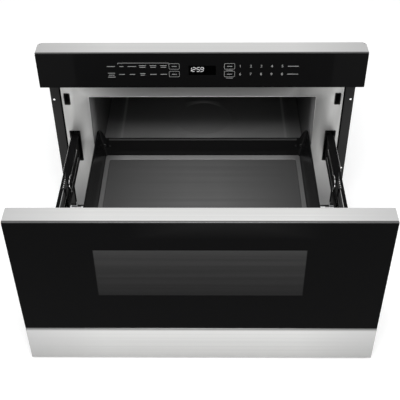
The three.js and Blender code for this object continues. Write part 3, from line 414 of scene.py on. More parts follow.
class Finish:
    """One material: a Principled shader whose colour, roughness and normal are built up by nodes."""

    def __init__(self, name, colour, roughness, **plain):
        self.material = bpy.data.materials.new(name)
        self.material.use_nodes = True
        self.tree = self.material.node_tree
        self.shader = self.tree.nodes["Principled BSDF"]
        self.place = node(self.tree, "ShaderNodeTexCoord").outputs["Object"]
        self.base = (*rgb(colour), 1.0)
        self.colour = None
        self.shader.inputs["Base Color"].default_value = self.base
        self.shader.inputs["Roughness"].default_value = roughness
        for key, value in plain.items():
            self.shader.inputs[key.replace("_", " ").title().replace("Ior", "IOR")].default_value = value

    def use(self, group, **inputs):
        made = node(self.tree, "ShaderNodeGroup", node_tree=group)
        self.tree.links.new(self.place, made.inputs["Place"])
        for key, value in inputs.items():
            made.inputs[key].default_value = value
        return made.outputs

    def zone(self, x=NO_LIMIT, y=NO_LIMIT, z=NO_LIMIT, outside=False):
        """Mask of a box with soft sides; each axis is its (middle, half size, softness) in mm."""
        middle, half, soft = (np.transpose([x, y, z]) * MM).tolist()
        mask = self.use(ZONE, Middle=middle, Half=half, Soft=soft)["Mask"]
        return maths(self.tree, "SUBTRACT", 1.0, mask) if outside else mask

    def both(self, where, mask):
        """A mask, only where another one holds; None stands for everywhere."""
        return mask if where is None else maths(self.tree, "MULTIPLY", where, mask)

    def tint(self, mask, towards, strength=1.0):
        """Mixes the colour so far towards another one by a mask."""
        amount = mask if strength == 1.0 else maths(self.tree, "MULTIPLY", mask, strength)
        mixed = node(self.tree, "ShaderNodeMix", {"Factor": amount}, data_type="RGBA")
        mixed.inputs[6].default_value = self.base
        if self.colour is not None:
            self.tree.links.new(self.colour, mixed.inputs[6])
        mixed.inputs[7].default_value = (*rgb(towards), 1.0)
        self.colour = mixed.outputs[2]
        self.tree.links.new(self.colour, self.shader.inputs["Base Color"])
        return self

    def rough(self, value, low, high):
        self.tree.links.new(spread(self.tree, value, low, high), self.shader.inputs["Roughness"])
        return self

    def relief(self, height, depth, soft_edge=0.0):
        """Bump from a height; soft_edge rounds the sharp edges of a solid by that radius."""
        bump = node(self.tree, "ShaderNodeBump", {"Height": height, "Strength": 1.0, "Distance": depth})
        if soft_edge:
            rounded = node(self.tree, "ShaderNodeBevel", {"Radius": soft_edge}, samples=4)
            self.tree.links.new(rounded.outputs[0], bump.inputs["Normal"])
        self.tree.links.new(bump.outputs[0], self.shader.inputs["Normal"])
        return self


def brushed(name, colour, low, high, stretch, depth=0.00002, soft_edge=0.0, shade=0.12, metallic=1.0):
    """Bare metal with fine lines; its roughness runs from low to high with them."""
    made = Finish(name, colour, (low + high) / 2, metallic=metallic)
    lines = made.use(BRUSHING, Stretch=stretch)
    made.tint(lines["Streak"], [c * (1 - shade) for c in rgb(colour)])
    made.rough(lines["Streak"], low, high)
    return made.relief(lines["Height"], depth, soft_edge)


def skinned(name, colour, low, high, fine=900.0, slow=12.0, depth=0.00003, soft_edge=0.0, shade=0.2, **plain):
    """Paint, plastic, enamel or glass; its roughness runs from low to high in slow patches."""
    made = Finish(name, colour, (low + high) / 2, **plain)
    skin = made.use(GRAIN, Fine=fine, Slow=slow)
    made.tint(skin["Patch"], [c * (1 - shade) for c in rgb(colour)])
    made.rough(skin["Patch"], low, high)
    return made.relief(skin["Height"], depth, soft_edge)


# ---------------------------------------------------------------- metal finishes
ALONG_X, ALONG_Y, ALONG_Z = (3.0, 1400.0, 1400.0), (1400.0, 3.0, 1400.0), (1400.0, 1400.0, 3.0)
ALL_WAYS = (300.0, 300.0, 300.0)


def trim_steel(name, grey, painted_shade_zone, painted_shade_grey):
    """Brushed along x, with broader faint lines; painted shade darkens it towards its two ends and
    along one edge.
    """
    made = brushed(name, (grey, grey, grey * 0.985), 0.24, 0.36, ALONG_X)
    made.tint(made.use(BANDS, Stretch=(1.2, 420.0, 420.0))["Band"], grey * 0.82, 0.6)
    # painted shade: darker towards both ends, and along the edge given
    made.tint(made.zone(x=(0, 170, 150), outside=True), grey * 0.7)
    return made.tint(made.zone(**painted_shade_zone), painted_shade_grey)


# painted shade along one edge of each trim: the front faces of the two caps, the top lip of the strip
stainless = trim_steel("stainless", 0.69, {"y": (-43.7, 2.6, 1.5)}, 0.08)
cap_steel = trim_steel("cap_steel", 0.79, {"y": (-417, 3.4, 1.5)}, 0.11)
strip_steel = trim_steel("strip_steel", 0.71, {"z": (83, 1, 6)}, 0.12)
# painted shade: the strip grows darker towards its bottom edge, by the floor
strip_steel.tint(strip_steel.zone(z=(-20, 0, 100)), (0.26, 0.26, 0.255), 0.75)

# painted light makes the face frame light under the control panel, and painted shade makes it dark towards
# the floor
frame_steel = brushed("frame_steel", (0.62, 0.62, 0.61), 0.34, 0.46, ALONG_Z, soft_edge=0.0006, metallic=0.8)
frame_steel.tint(frame_steel.zone(x=(-30, 198, 22), z=(245, 45, 22)), (0.92, 0.92, 0.91), 0.8)
frame_steel.tint(frame_steel.zone(z=(0, 30, 140)), 0.24)

# galvanised case; by the front its top is painted nearly white, a painted highlight fading towards the back
zinc = brushed("zinc_steel", (0.42, 0.425, 0.43), 0.36, 0.54, (60.0, 60.0, 60.0), soft_edge=0.0006, shade=0.3)
zinc.tint(zinc.use(GRAIN, Slow=26.0)["Patch"], (0.3, 0.305, 0.31), 0.35)
zinc.tint(zinc.zone(y=(0, 240, 160), z=(400, 28.5, 1.5)), 0.99)

aluminium = brushed("aluminium", (0.76, 0.76, 0.77), 0.3, 0.45, ALONG_X, soft_edge=0.0004)
retainer_steel = brushed("retainer_steel", 0.42, 0.25, 0.4, ALONG_Y)
cage_steel = brushed("cage_steel", 0.07, 0.3, 0.45, ALONG_Y)
# bright wires along the rails: bare cut edges, drawn bright as painted highlights too
edge_and_glint_steel = brushed("edge_and_glint_steel", 0.8, 0.3, 0.45, ALL_WAYS)
screw_steel = brushed("screw_steel", 0.6, 0.22, 0.35, ALL_WAYS)
dark_screw = brushed("dark_screw", 0.05, 0.4, 0.55, ALL_WAYS)
core_steel = brushed("core_steel", (0.16, 0.14, 0.12), 0.4, 0.6, ALONG_X, soft_edge=0.0004, shade=0.35)

dark_steel = skinned("dark_steel", 0.031, 0.45, 0.6, depth=0.00002, specular_ior_level=0.15)
dark_steel.tint(dark_steel.use(EDGE_WEAR_AND_GLINT)["Mask"], 0.12, 0.5)

# black rails: painted shade darkens the inside of the middle rail's upper web, and painted light lightens the
# drawer rail's inner lip
rail_steel = skinned("rail_steel", (0.005, 0.005, 0.0052), 0.34, 0.5, slow=30.0, depth=0.00001,
                     specular_ior_level=0.02)
rail_steel.tint(rail_steel.zone((0, 253.2, 1.5), (-50, 150, 1.5), (166, 24, 1.5)), 0.0006)
rail_steel.tint(rail_steel.zone((0, 257.8, 1), (-270, 90, 1), (180, 11.5, 1)), 0.04)
# painted highlights along the rails' edges
rail_steel.tint(rail_steel.use(EDGE_WEAR_AND_GLINT, Reach=0.0006)["Mask"], 0.16, 0.8)

screen_steel = skinned("screen_steel", (0.05, 0.05, 0.052), 0.4, 0.5)
screen_steel.tint(screen_steel.use(HOLES)["Mask"], 0.003)


# ---------------------------------------------------------------- enamel, ceramic and glass finishes
# the tray's enamel, with a painted highlight along the rear wall's lip and painted light on its side walls
black_enamel = skinned("black_enamel", (0.0068, 0.0068, 0.007), 0.2, 0.28, fine=260.0, slow=9.0,
                       depth=0.00002, shade=0.1, specular_ior_level=0.2)
black_enamel.tint(black_enamel.zone((0, 196.5, 0.5), (35.3, 0.9, 0.3), (153.5, 1.4, 1.2)), 0.07)
black_enamel.tint(black_enamel.zone(x=(0, 201, 3), outside=True), (0.0092, 0.0092, 0.0094))


def lit_towards_mouth(finish, where=None):
    """Painted light: the floor's grey rises towards the mouth, most of all in the middle."""
    finish.tint(finish.both(where, finish.zone(x=(0, 50, 130))), 0.25)
    finish.tint(finish.both(where, finish.zone(y=(0, 130, 90))), 0.42)
    finish.tint(finish.both(where, finish.zone(x=(0, 0, 240), y=(0, 110, 90))), 0.56)


def cavity_finish():
    """Enamel of the oven cavity: a grey floor with painted light towards the mouth, two pressed lines
    drawn as painted highlights and painted shade along its margins, and side walls streaked along
    their depth, with painted light by the mouth and a band of painted shade at their front edge."""
    made = skinned("cavity_enamel", 0.075, 0.26, 0.34, fine=260.0, slow=7.0, depth=0.00002, shade=0.08)
    floor = made.zone(x=(0, 219, 1.5), z=(91, 1, 1.5))
    sides = made.zone(x=(0, 220.5, 0.8), outside=True)
    made.tint(floor, 0.19)
    lit_towards_mouth(made, floor)
    # painted shade along the floor's margins by the walls
    made.tint(made.both(floor, made.zone(x=(0, 184, 12), outside=True)), 0.0, 0.25)
    # the two pressed lines, drawn as painted highlights
    for line_x in (-182.5, 184.0):
        made.tint(made.both(floor, made.zone(x=(line_x, 1.4, 2.6), y=(180, 110, 30))), 0.6, 0.5)
    # painted light on the side walls, strongest by the mouth
    for reach, grey in ((200, 0.25), (70, 0.9)):
        made.tint(made.both(sides, made.zone(y=(0, 0, reach))), grey)
    # painted shade in a band at the side walls' front edge
    made.tint(made.both(sides, made.zone(y=(-5, 7, 8))), 0.3, 0.85)
    made.tint(made.both(sides, made.use(BANDS, Stretch=(1.0, 2.0, 60.0))["Band"]), 0.0, 0.22)
    return made


cavity_enamel = cavity_finish()

# the stirrer's cover goes with the cavity floor, its painted light included; the far arc of its ring carries
# a painted highlight
black_ceramic = skinned("black_ceramic", 0.19, 0.26, 0.34, fine=260.0, slow=7.0, depth=0.00002, shade=0.08)
lit_towards_mouth(black_ceramic)
black_ceramic.tint(black_ceramic.zone((0, 8, 36), (280, 20, 30), (95, 2.2, 0.5)), 0.7)

glass_ceramic = skinned("glass_ceramic", 0.055, 0.08, 0.14, fine=80.0, slow=6.0, depth=0.000004, shade=0.06)
# painted light: the glass is lighter in the middle than towards its sides
glass_ceramic.tint(glass_ceramic.zone(x=(0, 30, 220)), 0.127)
glass_ceramic.tint(glass_ceramic.use(BANDS, Stretch=(1.2, 60.0, 1.0))["Band"], 0.075, 0.35)
rim_grey = skinned("grey_seal", 0.14, 0.4, 0.55, slow=20.0, soft_edge=0.0005)
# painted light: the rim is lighter in the middle than towards its sides
rim_grey.tint(rim_grey.zone(x=(0, 165, 34)), 0.275)

SMOOTH = {"fine": 20.0, "slow": 5.0, "depth": 0.000002}
black_glass = skinned("black_glass", (0.0078, 0.0078, 0.008), 0.04, 0.09, specular_ior_level=0.02, **SMOOTH)
window_glass = skinned("window_glass", (0.003, 0.003, 0.0032), 0.04, 0.09, specular_ior_level=0.025, **SMOOTH)
clock_black = skinned("clock_lens", 0.001, 0.03, 0.06, specular_ior_level=0.03, **SMOOTH)


def see_through_window(finish):
    """The perforated screen behind the unprinted middle of the drawer glass: a grey zone with painted
    light that grows towards its top edge, faint bands along it, and the rows of holes; and a painted
    reflection on the glass near its top, right of the middle."""
    tree = finish.tree
    pane = finish.zone(x=(0, 167.5, 1.6), z=(216.5, 50.5, 1.6))
    height = node(tree, "ShaderNodeSeparateXYZ", {0: finish.place}).outputs[2]
    bands = finish.use(BANDS, Stretch=(1.5, 1.0, 150.0))["Band"]
    holes = finish.use(HOLES, Pitch=0.0022, Radius=0.0007)["Mask"]
    # painted light: the screen grows lighter towards its top edge
    light = spread(tree, share_of(tree, height, 0.17, 0.266), 0.42, 1.0)
    lines = spread(tree, bands, 0.8, 1.0)
    open_share = spread(tree, holes, 1.0, 0.45)
    finish.tint(finish.both(finish.both(pane, light), finish.both(lines, open_share)), 0.055)
    finish.tint(finish.zone(x=(0, 167, 1.2), z=(266.8, 0.2, 1.2)), 0.08, 0.3)
    # painted reflection on the glass near its top, right of the middle
    finish.tint(finish.zone(x=(40, 20, 130), z=(327, 0, 35)), 0.014, 0.8)


see_through_window(window_glass)


# ---------------------------------------------------------------- plastic, rubber and print finishes
black_plastic = skinned("black_plastic", 0.012, 0.5, 0.65, depth=0.00006, soft_edge=0.0005)
cream_plastic = skinned("cream_plastic", (0.6, 0.58, 0.53), 0.38, 0.5, soft_edge=0.0005, shade=0.06)
rubber = skinned("black_rubber", 0.012, 0.6, 0.8, depth=0.00008)
# pitch-black foam for the flange strips, which also stand in for painted shade
black_foam_and_shade = skinned("black_foam_and_shade", 0.002, 0.85, 0.95, depth=0.0001, specular_ior_level=0.05)
film = skinned("sensor_film", (0.3, 0.24, 0.1), 0.3, 0.4, slow=60.0)
board = skinned("board_green", (0.03, 0.13, 0.05), 0.3, 0.5, slow=180.0, shade=0.5)
legend_white = skinned("legend_print", 0.62, 0.5, 0.6, slow=300.0, shade=0.15)
clock_glow = skinned("clock_digit", 0.5, 0.4, 0.5, slow=300.0, shade=0.05,
                     emission_color=(0.9, 0.9, 0.9, 1.0), emission_strength=0.35)


def pair(node_name):
    """The left and the right node of a name."""
    return [f"{node_name}_{label}" for label, _ in SIDES]


BY_FINISH = {
    zinc: ["base_pan", "case_wrap", "rear_cover", *pair("rail_mount")],
    rubber: ["cord_inlet"],
    frame_steel: ["front_frame"],
    dark_steel: [*pair("mounting_flange"), "door_frame", "door_back_panel"],
    cavity_enamel: ["cavity_shell"],
    black_enamel: ["drawer_tray"],
    black_ceramic: ["stirrer_cover"],
    aluminium: ["stirrer_well", "waveguide", "stirrer_antenna", "magnetron", "hv_capacitor"],
    cream_plastic: ["stirrer_motor", "cavity_lamp", "drive_rack", "drive_pinion", *pair("latch_hook")],
    core_steel: ["hv_transformer", "fan_motor"],
    black_plastic: ["fan_shroud", "fan_blade", "control_housing", "display_module", "drive_motor",
                    "door_choke", *pair("latch_housing")],
    board: ["power_board", "noise_filter", "control_board"],
    black_glass: ["control_glass", "door_inner_pane"],
    window_glass: ["door_glass"],
    stainless: ["control_top_cap", "door_bottom_strip", "door_top_cap"],
    film: ["touch_sensor_sheet"],
    rail_steel: [*pair("outer_rail"), *pair("mid_rail"), *pair("inner_rail"), *pair("rail_bracket")],
    retainer_steel: pair("ball_retainer"),
    screen_steel: ["door_screen"],
    rim_grey: ["tray_rim"],
    glass_ceramic: ["glass_floor"],
    dark_screw: pair("tray_screw"),
}
for finish, names in BY_FINISH.items():
    for name in names:
        NODES[name].data.materials.clear()
        NODES[name].data.materials.append(finish.material)


# ---------------------------------------------------------------- stainless trim
def trim():
    """Three bars: outlines with eased corners, carried across the front, ends rounded."""
    cap_low = span("door_top_cap", "z")[0]
    cap = eased([(DOOR_Y, cap_low), (DOOR_BACK, cap_low), (DOOR_BACK, DOOR_TOP), (DOOR_Y, DOOR_TOP)],
                [0.3, 0.3, 0.6, 1.2])
    mesh("drawer_cap", [bar(cap, "x", -FRONT_X, FRONT_X)], "drawer", cap_steel, "stainless", ["door_top_cap"])

    face, back = span("door_bottom_strip", "y")
    low, high = span("door_bottom_strip", "z")
    strip = eased([(back, low), (face, low), (face, high - 1.5), (DOOR_Y, high), (back, high)],
                  [0.3, 2.2, 0.8, 0.7, 0.3])
    mesh("drawer_strip", [bar(strip, "x", -FRONT_X, FRONT_X)], "drawer", strip_steel, "stainless",
         ["door_bottom_strip"])

    front, back = span("control_top_cap", "y")
    notch_x, notch_y = FRONT_X - 5.0, back - 5.0
    half = [(FRONT_X, front), (FRONT_X, notch_y), (notch_x, notch_y), (notch_x, back)]
    plan = eased(half + [(-x, y) for x, y in reversed(half)], 0.8)
    mesh("panel_cap", [bar(plan, "z", *span("control_top_cap", "z"))], "case", stainless, "stainless",
         ["control_top_cap"])


# ---------------------------------------------------------------- face frame
def inside_any(x, z, holes):
    """Which cell middles fall in a hole."""
    found = np.zeros(np.broadcast(x, z).shape, bool)
    for x0, x1, z0, z1 in holes:
        found |= (x > x0) & (x < x1) & (z > z0) & (z < z1)
    return found


def face_frame():
    """The frame's face over a grid of lines, its outer edge folded back. Cells in the mouth, the
    slide slots and the latch slots are left out; Solidify and Bevel finish the sheet."""
    thick, edge, folded = 1.2, 0.45, 15.0
    half = span("front_frame", "x")[1]
    low, high = span("front_frame", "z")
    holes = [(-CAVITY_X, CAVITY_X, CAVITY_LOW, CAVITY_TOP)]
    for x0, x1, z0, z1 in (SLIDE_SLOT, LATCH_SLOT):
        holes += [(x0, x1, z0, z1), (-x1, -x0, z0, z1)]
    xs = np.unique([x for hole in holes for x in hole[:2]] + [-half, half])
    zs = np.unique([z for hole in holes for z in hole[2:]] + [low, high])
    xs = np.concatenate([[-half - folded], xs, [half + folded]])
    zs = np.concatenate([[low - folded], zs, [high + folded]])

    # past the edge a point turns back into the cabinet
    x, z = np.meshgrid(xs, zs, indexing="ij")
    past = np.maximum(np.abs(x) - half, 0) + np.maximum(low - z, 0) + np.maximum(z - high, 0)
    points, faces = grid(np.stack([np.clip(x, -half, half), FRAME_Y + past, np.clip(z, low, high)], -1))

    mid_x, mid_z = (xs[1:] + xs[:-1]) / 2, (zs[1:] + zs[:-1]) / 2
    gone = inside_any(mid_x[:, None], mid_z[None], holes)
    gone[[0, 0, -1, -1], [0, -1, 0, -1]] = True
    kept = np.asarray(faces)[~gone.ravel()]
    piece = mesh("face_frame", [(points, kept.tolist())], "case", frame_steel, "frame_steel", ["front_frame"])
    solid = piece.modifiers.new("thickness", "SOLIDIFY")
    solid.thickness, solid.offset = thick * MM, -1.0
    round_off = piece.modifiers.new("edges", "BEVEL")
    round_off.width, round_off.segments, round_off.limit_method = edge * MM, 2, "ANGLE"


def frame_fittings():
    """A rolled lip round the mouth, moulded liners in the latch and slide slots, and a seal and a
    foot strip at each mounting flange, pitch black, which also stand in for painted shade in the gap
    by the frame and under the flange."""
    mouth = eased(rectangle(-CAVITY_X, CAVITY_X, CAVITY_LOW, CAVITY_TOP), 2.5)
    roll, turn = 0.6, circle(10)
    section = np.stack([roll * np.cos(turn), FRAME_Y + 0.2 + roll * np.sin(turn)], -1)
    mesh("mouth_lip", [ring_round(mouth, section)], "case", frame_steel, "frame_steel")

    liner = [(0.9, FRAME_Y - 0.5), (0.9, FRAME_Y), (-0.1, FRAME_Y + 1.6), (-0.1, 5.0), (-0.45, 5.0),
             (-0.45, FRAME_Y - 0.2), (0.2, FRAME_Y - 0.6)]
    liners = [ring_round(eased(rectangle(*slot), 1.2), liner) for slot in (LATCH_SLOT, SLIDE_SLOT)]
    # pitch-black strips that also stand in for painted shade: in the gap by the frame and under the flange
    seal = bar(eased(rectangle(274.5, 277.6, -4.4, -1.4), 0.7), "z", 8.5, 371.0, 0.6)
    foot = bar(eased(rectangle(270.0, 296.0, 4.4, 8.4), 0.6), "y", -1.6, 0.0, 0.3)
    mesh_pairs("case",
               ("flange_foot", [foot], black_foam_and_shade, "black_rubber"),
               ("flange_seal", [seal], black_foam_and_shade, "black_rubber"),
               ("slot_liner", liners, black_plastic, "black_plastic"))


# ---------------------------------------------------------------- rails
def stepped_tip(outline, root, full, reach, band):
    """One outline for each value in reach. Inside band = (low z, high z) the flange is drawn in
    towards root, so that its tip stands at reach: x = root + (x - root) (reach - root) / (full - root)."""
    outlines = np.repeat(outline[None], len(reach), 0)
    x, z = outlines[..., 0], outlines[..., 1]
    inside = (z > band[0]) & (z < band[1]) & (x > root)
    share = ((np.asarray(reach) - root) / (full - root))[:, None]
    return np.stack([np.where(inside, root + (x - root) * share, x), z], -1)


def middle_rail():
    """Bent strip in three carried parts: the top flange and its bend, the bottom bend with the lower
    web, and the upper web, whose front end stands further in or out with the height. Its cut edges
    are bright wires of bare metal that also stand as painted highlights; two more bright wires along
    its web are painted highlights only, and a pin stands on its web."""
    thick = 1.4
    mid, high, low = MID_X + thick / 2, MID_HIGH - thick / 2, MID_LOW + thick / 2
    front = MID_FRONT + 33.0

    top = bent_sheet([(MID_TIP - 0.4, high - 0.5), (MID_TIP - 0.8, high), (mid, high), (mid, 188.0)],
                     thick, [[1e-3], [2.0]])
    stations = [front + step for step in (0, 0.3, 20, 22, 25, 26)] + [MID_BACK - 0.3, MID_BACK]
    reach = [258.0, 258.3, 260.5, 261.2, 265.0, MID_TIP, MID_TIP, MID_TIP - 0.3]
    flange = carried(stepped_tip(top, mid, MID_TIP, reach, (190.0, 195.0)), "y", stations)

    lower = [(mid, 166.0), (mid - 0.7, 164.8), (mid - 0.7, 150.0), (mid, 148.6), (mid, low),
             (MID_TIP - 2.4, low)]
    foot = bar(bent_sheet(lower, thick, [[0.5], [0.5], [0.5], [2.0]]), "y", MID_FRONT, MID_BACK, 0.3)

    web_half = 0.65
    z = np.array([163.0, 166.0, 169.7, 176.0, 182.9, 190.0, 190.6, 192.0])
    ends = np.array([-140.5, -141.5, -143.7, -148.5, -153.2, -151.8, -145.0, -137.5])
    inner, outer = mid - web_half, mid + web_half
    corners = ((inner, ends), (outer, ends), (outer, MID_BACK), (inner, MID_BACK))
    web = grid(np.stack([to_axis("z", z, x, at) for x, at in corners], 1), around=True)

    steps = [(-121, 186.0), (-126, 186.6), (-128.5, 190.2), (-133, 190.6), (-135.5, 193.0), (-140, 192.8),
             (-141.5, 190.6), (-147, 191.8), (-149.5, 189.6), (-153.4, 189.2), (-152.2, 184.6),
             (-154.6, 182.4), (-149.4, 178.4), (-150.2, 175.4), (-144.2, 172.4), (-145.6, 169.0),
             (-140.4, 165.8), (-142.2, 162.4), (-139.4, 158.0)]
    pin_profile = [(0, 0.4), (2.3, 0.4), (2.3, -0.2), (1.7, -0.8), (0, -0.95)]
    web_end = wire([(MID_X - 0.45, y_at, z_at) for y_at, z_at in steps], 0.7)
    flange_edge = wire([(MID_TIP - 0.3, y_at, high + 0.3) for y_at in (-122.0, 50.0, 219.0)], 0.32)
    # painted highlights: two bright wires along the web
    web_line = wire([(MID_X - 0.3, -45.0 - t, 184.2 + 0.036 * t) for t in (0.0, 38.0, 77.0)], 0.75)
    step_line = wire([(MID_X - 0.75, y_at, 164.6) for y_at in (front + 6, -90.0, -41.0)], 0.8)
    pin = turned(pin_profile, (MID_X, -42.5, 183.8), "x", 14)
    bare = [web_end, pin, flange_edge, web_line, step_line]
    mesh_pairs("mid_rail_{}",
               ("mid_rail_bar", [flange, foot, web], rail_steel, "rail_steel", ["mid_rail_{}"]),
               ("mid_rail_cut_edges", bare, edge_and_glint_steel, "retainer_steel"))


def ball_cage():
    """Thin strip bent to a C, notched near its front end, with a row of balls top and bottom."""
    spine, tip = span("ball_retainer_right", "x")
    spine, tip = spine + 0.5, tip - 0.1
    low, high = span("ball_retainer_right", "z", 0.45)
    front = span("ball_retainer_right", "y")[0]
    notched = tip - 3.0
    outline = bent_sheet([(tip, high), (spine, high), (spine, low), (tip, low)], 0.8, 1.4)
    cuts = np.array([0, 0.2, 9.6, 10.2, 17.8, 18.4, 25.6, 26.2, 33.8, 34.4, 189.8, 190.0])
    reach = [tip, tip, tip, notched, notched, tip, tip, notched, notched, tip, tip, tip]
    strip = carried(stepped_tip(outline, spine, tip, reach, (188.0, 195.0)), "y", front + cuts)

    places = [(259.2, front + 5 + 6.0 * i, z) for z in (high, low) for i in range(31)]
    balls, crease = copies(ball(1.2), places), 80
    mesh_pairs("ball_retainer_{}",
               ("ball_strip", [strip], cage_steel, "retainer_steel", ["ball_retainer_{}"]),
               ("rail_balls", [balls], screw_steel, "screw_steel", [], crease))


def drawer_rail():
    """Hooked channel with a leg below its web, all bends eased, low rivet heads at its two ends, and
    two bright wires along its inner lip: bare cut edges, drawn bright as painted highlights too."""
    web, rib_tip, lip = RAIL_X - 1.4, 259.9, 255.0
    hook = [(RAIL_X, RAIL_LOW), (RAIL_X, RAIL_TOP), (258.6, RAIL_TOP), (lip, 187.6), (lip, 171.2),
            (lip + 1.2, 171.2), (lip + 1.2, 187.0), (259.0, 188.2), (web, 188.2)]
    leg = [(web, 146.8), (rib_tip, 146.8), (rib_tip, 145.4), (web, 145.4), (web, RAIL_LOW)]
    outline = eased(hook + leg, [0.5, 2.2, 0.8, 0.8, 0.4, 0.4, 0.5, 0.5, 0.9, 0.9, 0.5, 0.5, 0.5, 0.5], 3)
    rail = bar(outline, "y", RAIL_FRONT, RAIL_BACK, 0.3)

    # bright wires: bare cut edges, drawn bright as painted highlights too
    cut = [wire([(x, y, z) for y in (RAIL_FRONT + 0.4, -170.0, RAIL_BACK - 0.4)], r)
           for x, z, r in ((258.5, 189.3, 0.55), (255.55, 171.6, 0.85))]
    head = turned([(0, 0.0), (3.4, 0.0), (3.4, 0.2), (2.4, 0.45), (0, 0.5)], (RAIL_X, 0, 0), "x", 14)
    places = [(0, y, z) for y in (-372, -356) for z in (158, 177)] + [(0, 28, 168)]
    mesh_pairs("drawer",
               ("drawer_rail", [rail], rail_steel, "rail_steel", ["inner_rail_{}"]),
               ("drawer_rail_cut_edges", cut, edge_and_glint_steel, "retainer_steel"),
               ("rail_rivets", [copies(head, places)], retainer_steel, "retainer_steel"))


# ---------------------------------------------------------------- tray
def tray_half(z):
    """Half width of the tray's outside at a height: its sides lean in by 10.5 mm over 64 mm."""
    return TRAY_X - 10.5 * (TRAY_TOP - z) / 64.0


def round_plan(steps=6):
    """Rounded rectangle as numbers (a, b, angle): the point is the middle plus (a, b) times the
    corner centre's reach plus the corner radius in direction angle. The rear side carries extra
    points so that its height can vary."""
    q = np.linspace(0, np.pi / 2, steps + 1)
    near_corner = [0.995, 0.985, 0.975, 0.965, 0.957, 0.95, 0.943, 0.935, 0.925, 0.9]
    rear = np.array(near_corner + [0.45, 0.0, -0.45] + [-share for share in reversed(near_corner)])
    one, along = np.ones(steps + 1), np.ones(len(rear))
    a = np.concatenate([one, rear, -one, -one, one])
    b = np.concatenate([one, along, one, -one, -one])
    angle = np.concatenate([q, along * np.pi / 2, q + np.pi / 2, q + np.pi, q + 1.5 * np.pi])
    return a, b, angle


def plan_at(z, half_x, y0, y1, radius, out=0.0):
    """The points of the rounded plan at height z, moved outwards by out."""
    a, b, angle = round_plan()
    x = a * (half_x - radius) + (radius + out) * np.cos(angle)
    y = (y0 + y1) / 2 + b * ((y1 - y0) / 2 - radius) + (radius + out) * np.sin(angle)
    return to_axis("z", z, x, y)


def pressed_tray():
    """A pan pressed from sheet: columns go round the plan, rows go across the wall, from the inner
    floor up the inside, over the rolled lip and down to the outer floor. The rear wall's top rises
    to each corner as 1 - (1 - t)^2, t being the share of the ear's width."""
    radius, wall_top, ear_x, ear_wide = 7.0, 157.0, 205.5, 8.5
    a, b, angle = round_plan()
    x_here = np.abs(a * (tray_half(170.0) - radius) + radius * np.cos(angle))
    t = np.clip((x_here - ear_x) / ear_wide, 0, 1)
    top = np.where(b > 0, wall_top + (TRAY_TOP - wall_top) * (1 - (1 - t) ** 2), TRAY_TOP)

    # each point of the wall's section: how far outside the outer face, and the height
    inner, floor = -TRAY_T, TRAY_LOW + TRAY_T
    wall = [(-30.0, floor), (inner - 2.6, floor), (inner - 0.8, floor + 0.8), (inner, floor + 2.6),
            (inner, GLASS_TOP + 8), (inner, top - 6.0), (inner, top - 2.0), (inner + 0.25, top - 0.8),
            (inner + 0.8, top), (inner + 1.6, top + 0.1), (0.7, top - 0.25), (1.1, top - 1.0),
            (0.9, top - 2.1), (0.4, top - 2.6), (0.0, top - 3.0), (0.0, TRAY_LOW + 3.5),
            (-1.0, TRAY_LOW + 1.0), (-3.5, TRAY_LOW), (-30.0, TRAY_LOW)]
    rows = [plan_at(z, tray_half(z), TRAY_FRONT, TRAY_BACK, radius, out) for out, z in wall]
    mesh("pressed_tray", [grid(np.stack(rows), around=True)], "drawer", black_enamel, "black_enamel",
         ["drawer_tray"])

    stud_profile = [(0, 0.2), (2.6, 0.2), (2.6, -0.4), (1.9, -0.9), (0, -1.0)]
    stud = turned(stud_profile, (0, TRAY_BACK - TRAY_T, 0), "y", 16)
    studs = copies(stud, [(x, 0, 137.0) for x in (-196.5, 196.5)])
    mesh("tray_rear_studs", [studs], "drawer", dark_screw, "screw_steel")


def tray_floor():
    """Grey rim and glass plate, both rounded at the corners of the pan."""
    gap, ledge_wide = 0.3, 4.8
    pan_corner, glass_corner = 5.4, 5.0
    y0, y1 = TRAY_FRONT + TRAY_T + gap, TRAY_BACK - TRAY_T - gap
    glass_x = span("glass_floor", "x", -gap)[1]
    glass_y = span("glass_floor", "y", -gap)

    def outer(z, draw=0.0):
        """By the pan's wall at height z, drawn in by draw."""
        return plan_at(z, tray_half(z) - TRAY_T - gap, y0, y1, pan_corner, -draw)

    def inner(z, draw=0.0):
        """Round the glass at height z, drawn in by draw."""
        return plan_at(z, glass_x, *glass_y, glass_corner, -draw)

    low, high, ledge = 103.6, span("tray_rim", "z")[1], GLASS_LOW - gap
    rim = [outer(low), outer(high - 0.6), outer(high, 0.6), inner(high, -0.7), inner(high - 0.6),
           inner(ledge), inner(ledge, ledge_wide), inner(low, ledge_wide), outer(low)]
    mesh("tray_rim_ring", [grid(np.stack(rim), around=True, lids=False)], "drawer", rim_grey, "grey_seal",
         ["tray_rim"])
    plate = [inner(GLASS_LOW, 0.9), inner(GLASS_LOW + 0.4, 0.35), inner(GLASS_TOP - 0.5, 0.35),
             inner(GLASS_TOP, 0.9)]
    mesh("glass_plate", [grid(np.stack(plate), around=True)], "drawer", glass_ceramic, "glass_ceramic",
         ["glass_floor"])


# ---------------------------------------------------------------- control panel prints
KEY_ROWS = (376.5, 359.9)
KEY_COLUMNS = (-166.3, -146.9, -127.7, -108.5, -89.1, -69.8)
DIGIT_COLUMNS = (71.0, 90.5, 109.7, 129.0, 148.3)
KEY_WIDTHS = ((15.0, 7.5, 15.5, 13.0, 12.0, 12.0), (13.0, 10.0, 10.0, 9.5, 12.0, 12.0))
KEY_LINES = ((1, 1, 1, 2, 2, 2), (3, 1, 1, 2, 1, 1))
# for a legend of 1, 2 or 3 lines: each line's height above the row, share of the width, and stroke
LINE_PLACES = {1: [(0.0, 1.0, 0.9)],
               2: [(1.7, 1.0, 0.9), (-1.7, 0.85, 0.9)],
               3: [(2.6, 1.0, 0.8), (-1.6, 0.8, 0.8), (-5.8, 1.05, 0.8)]}


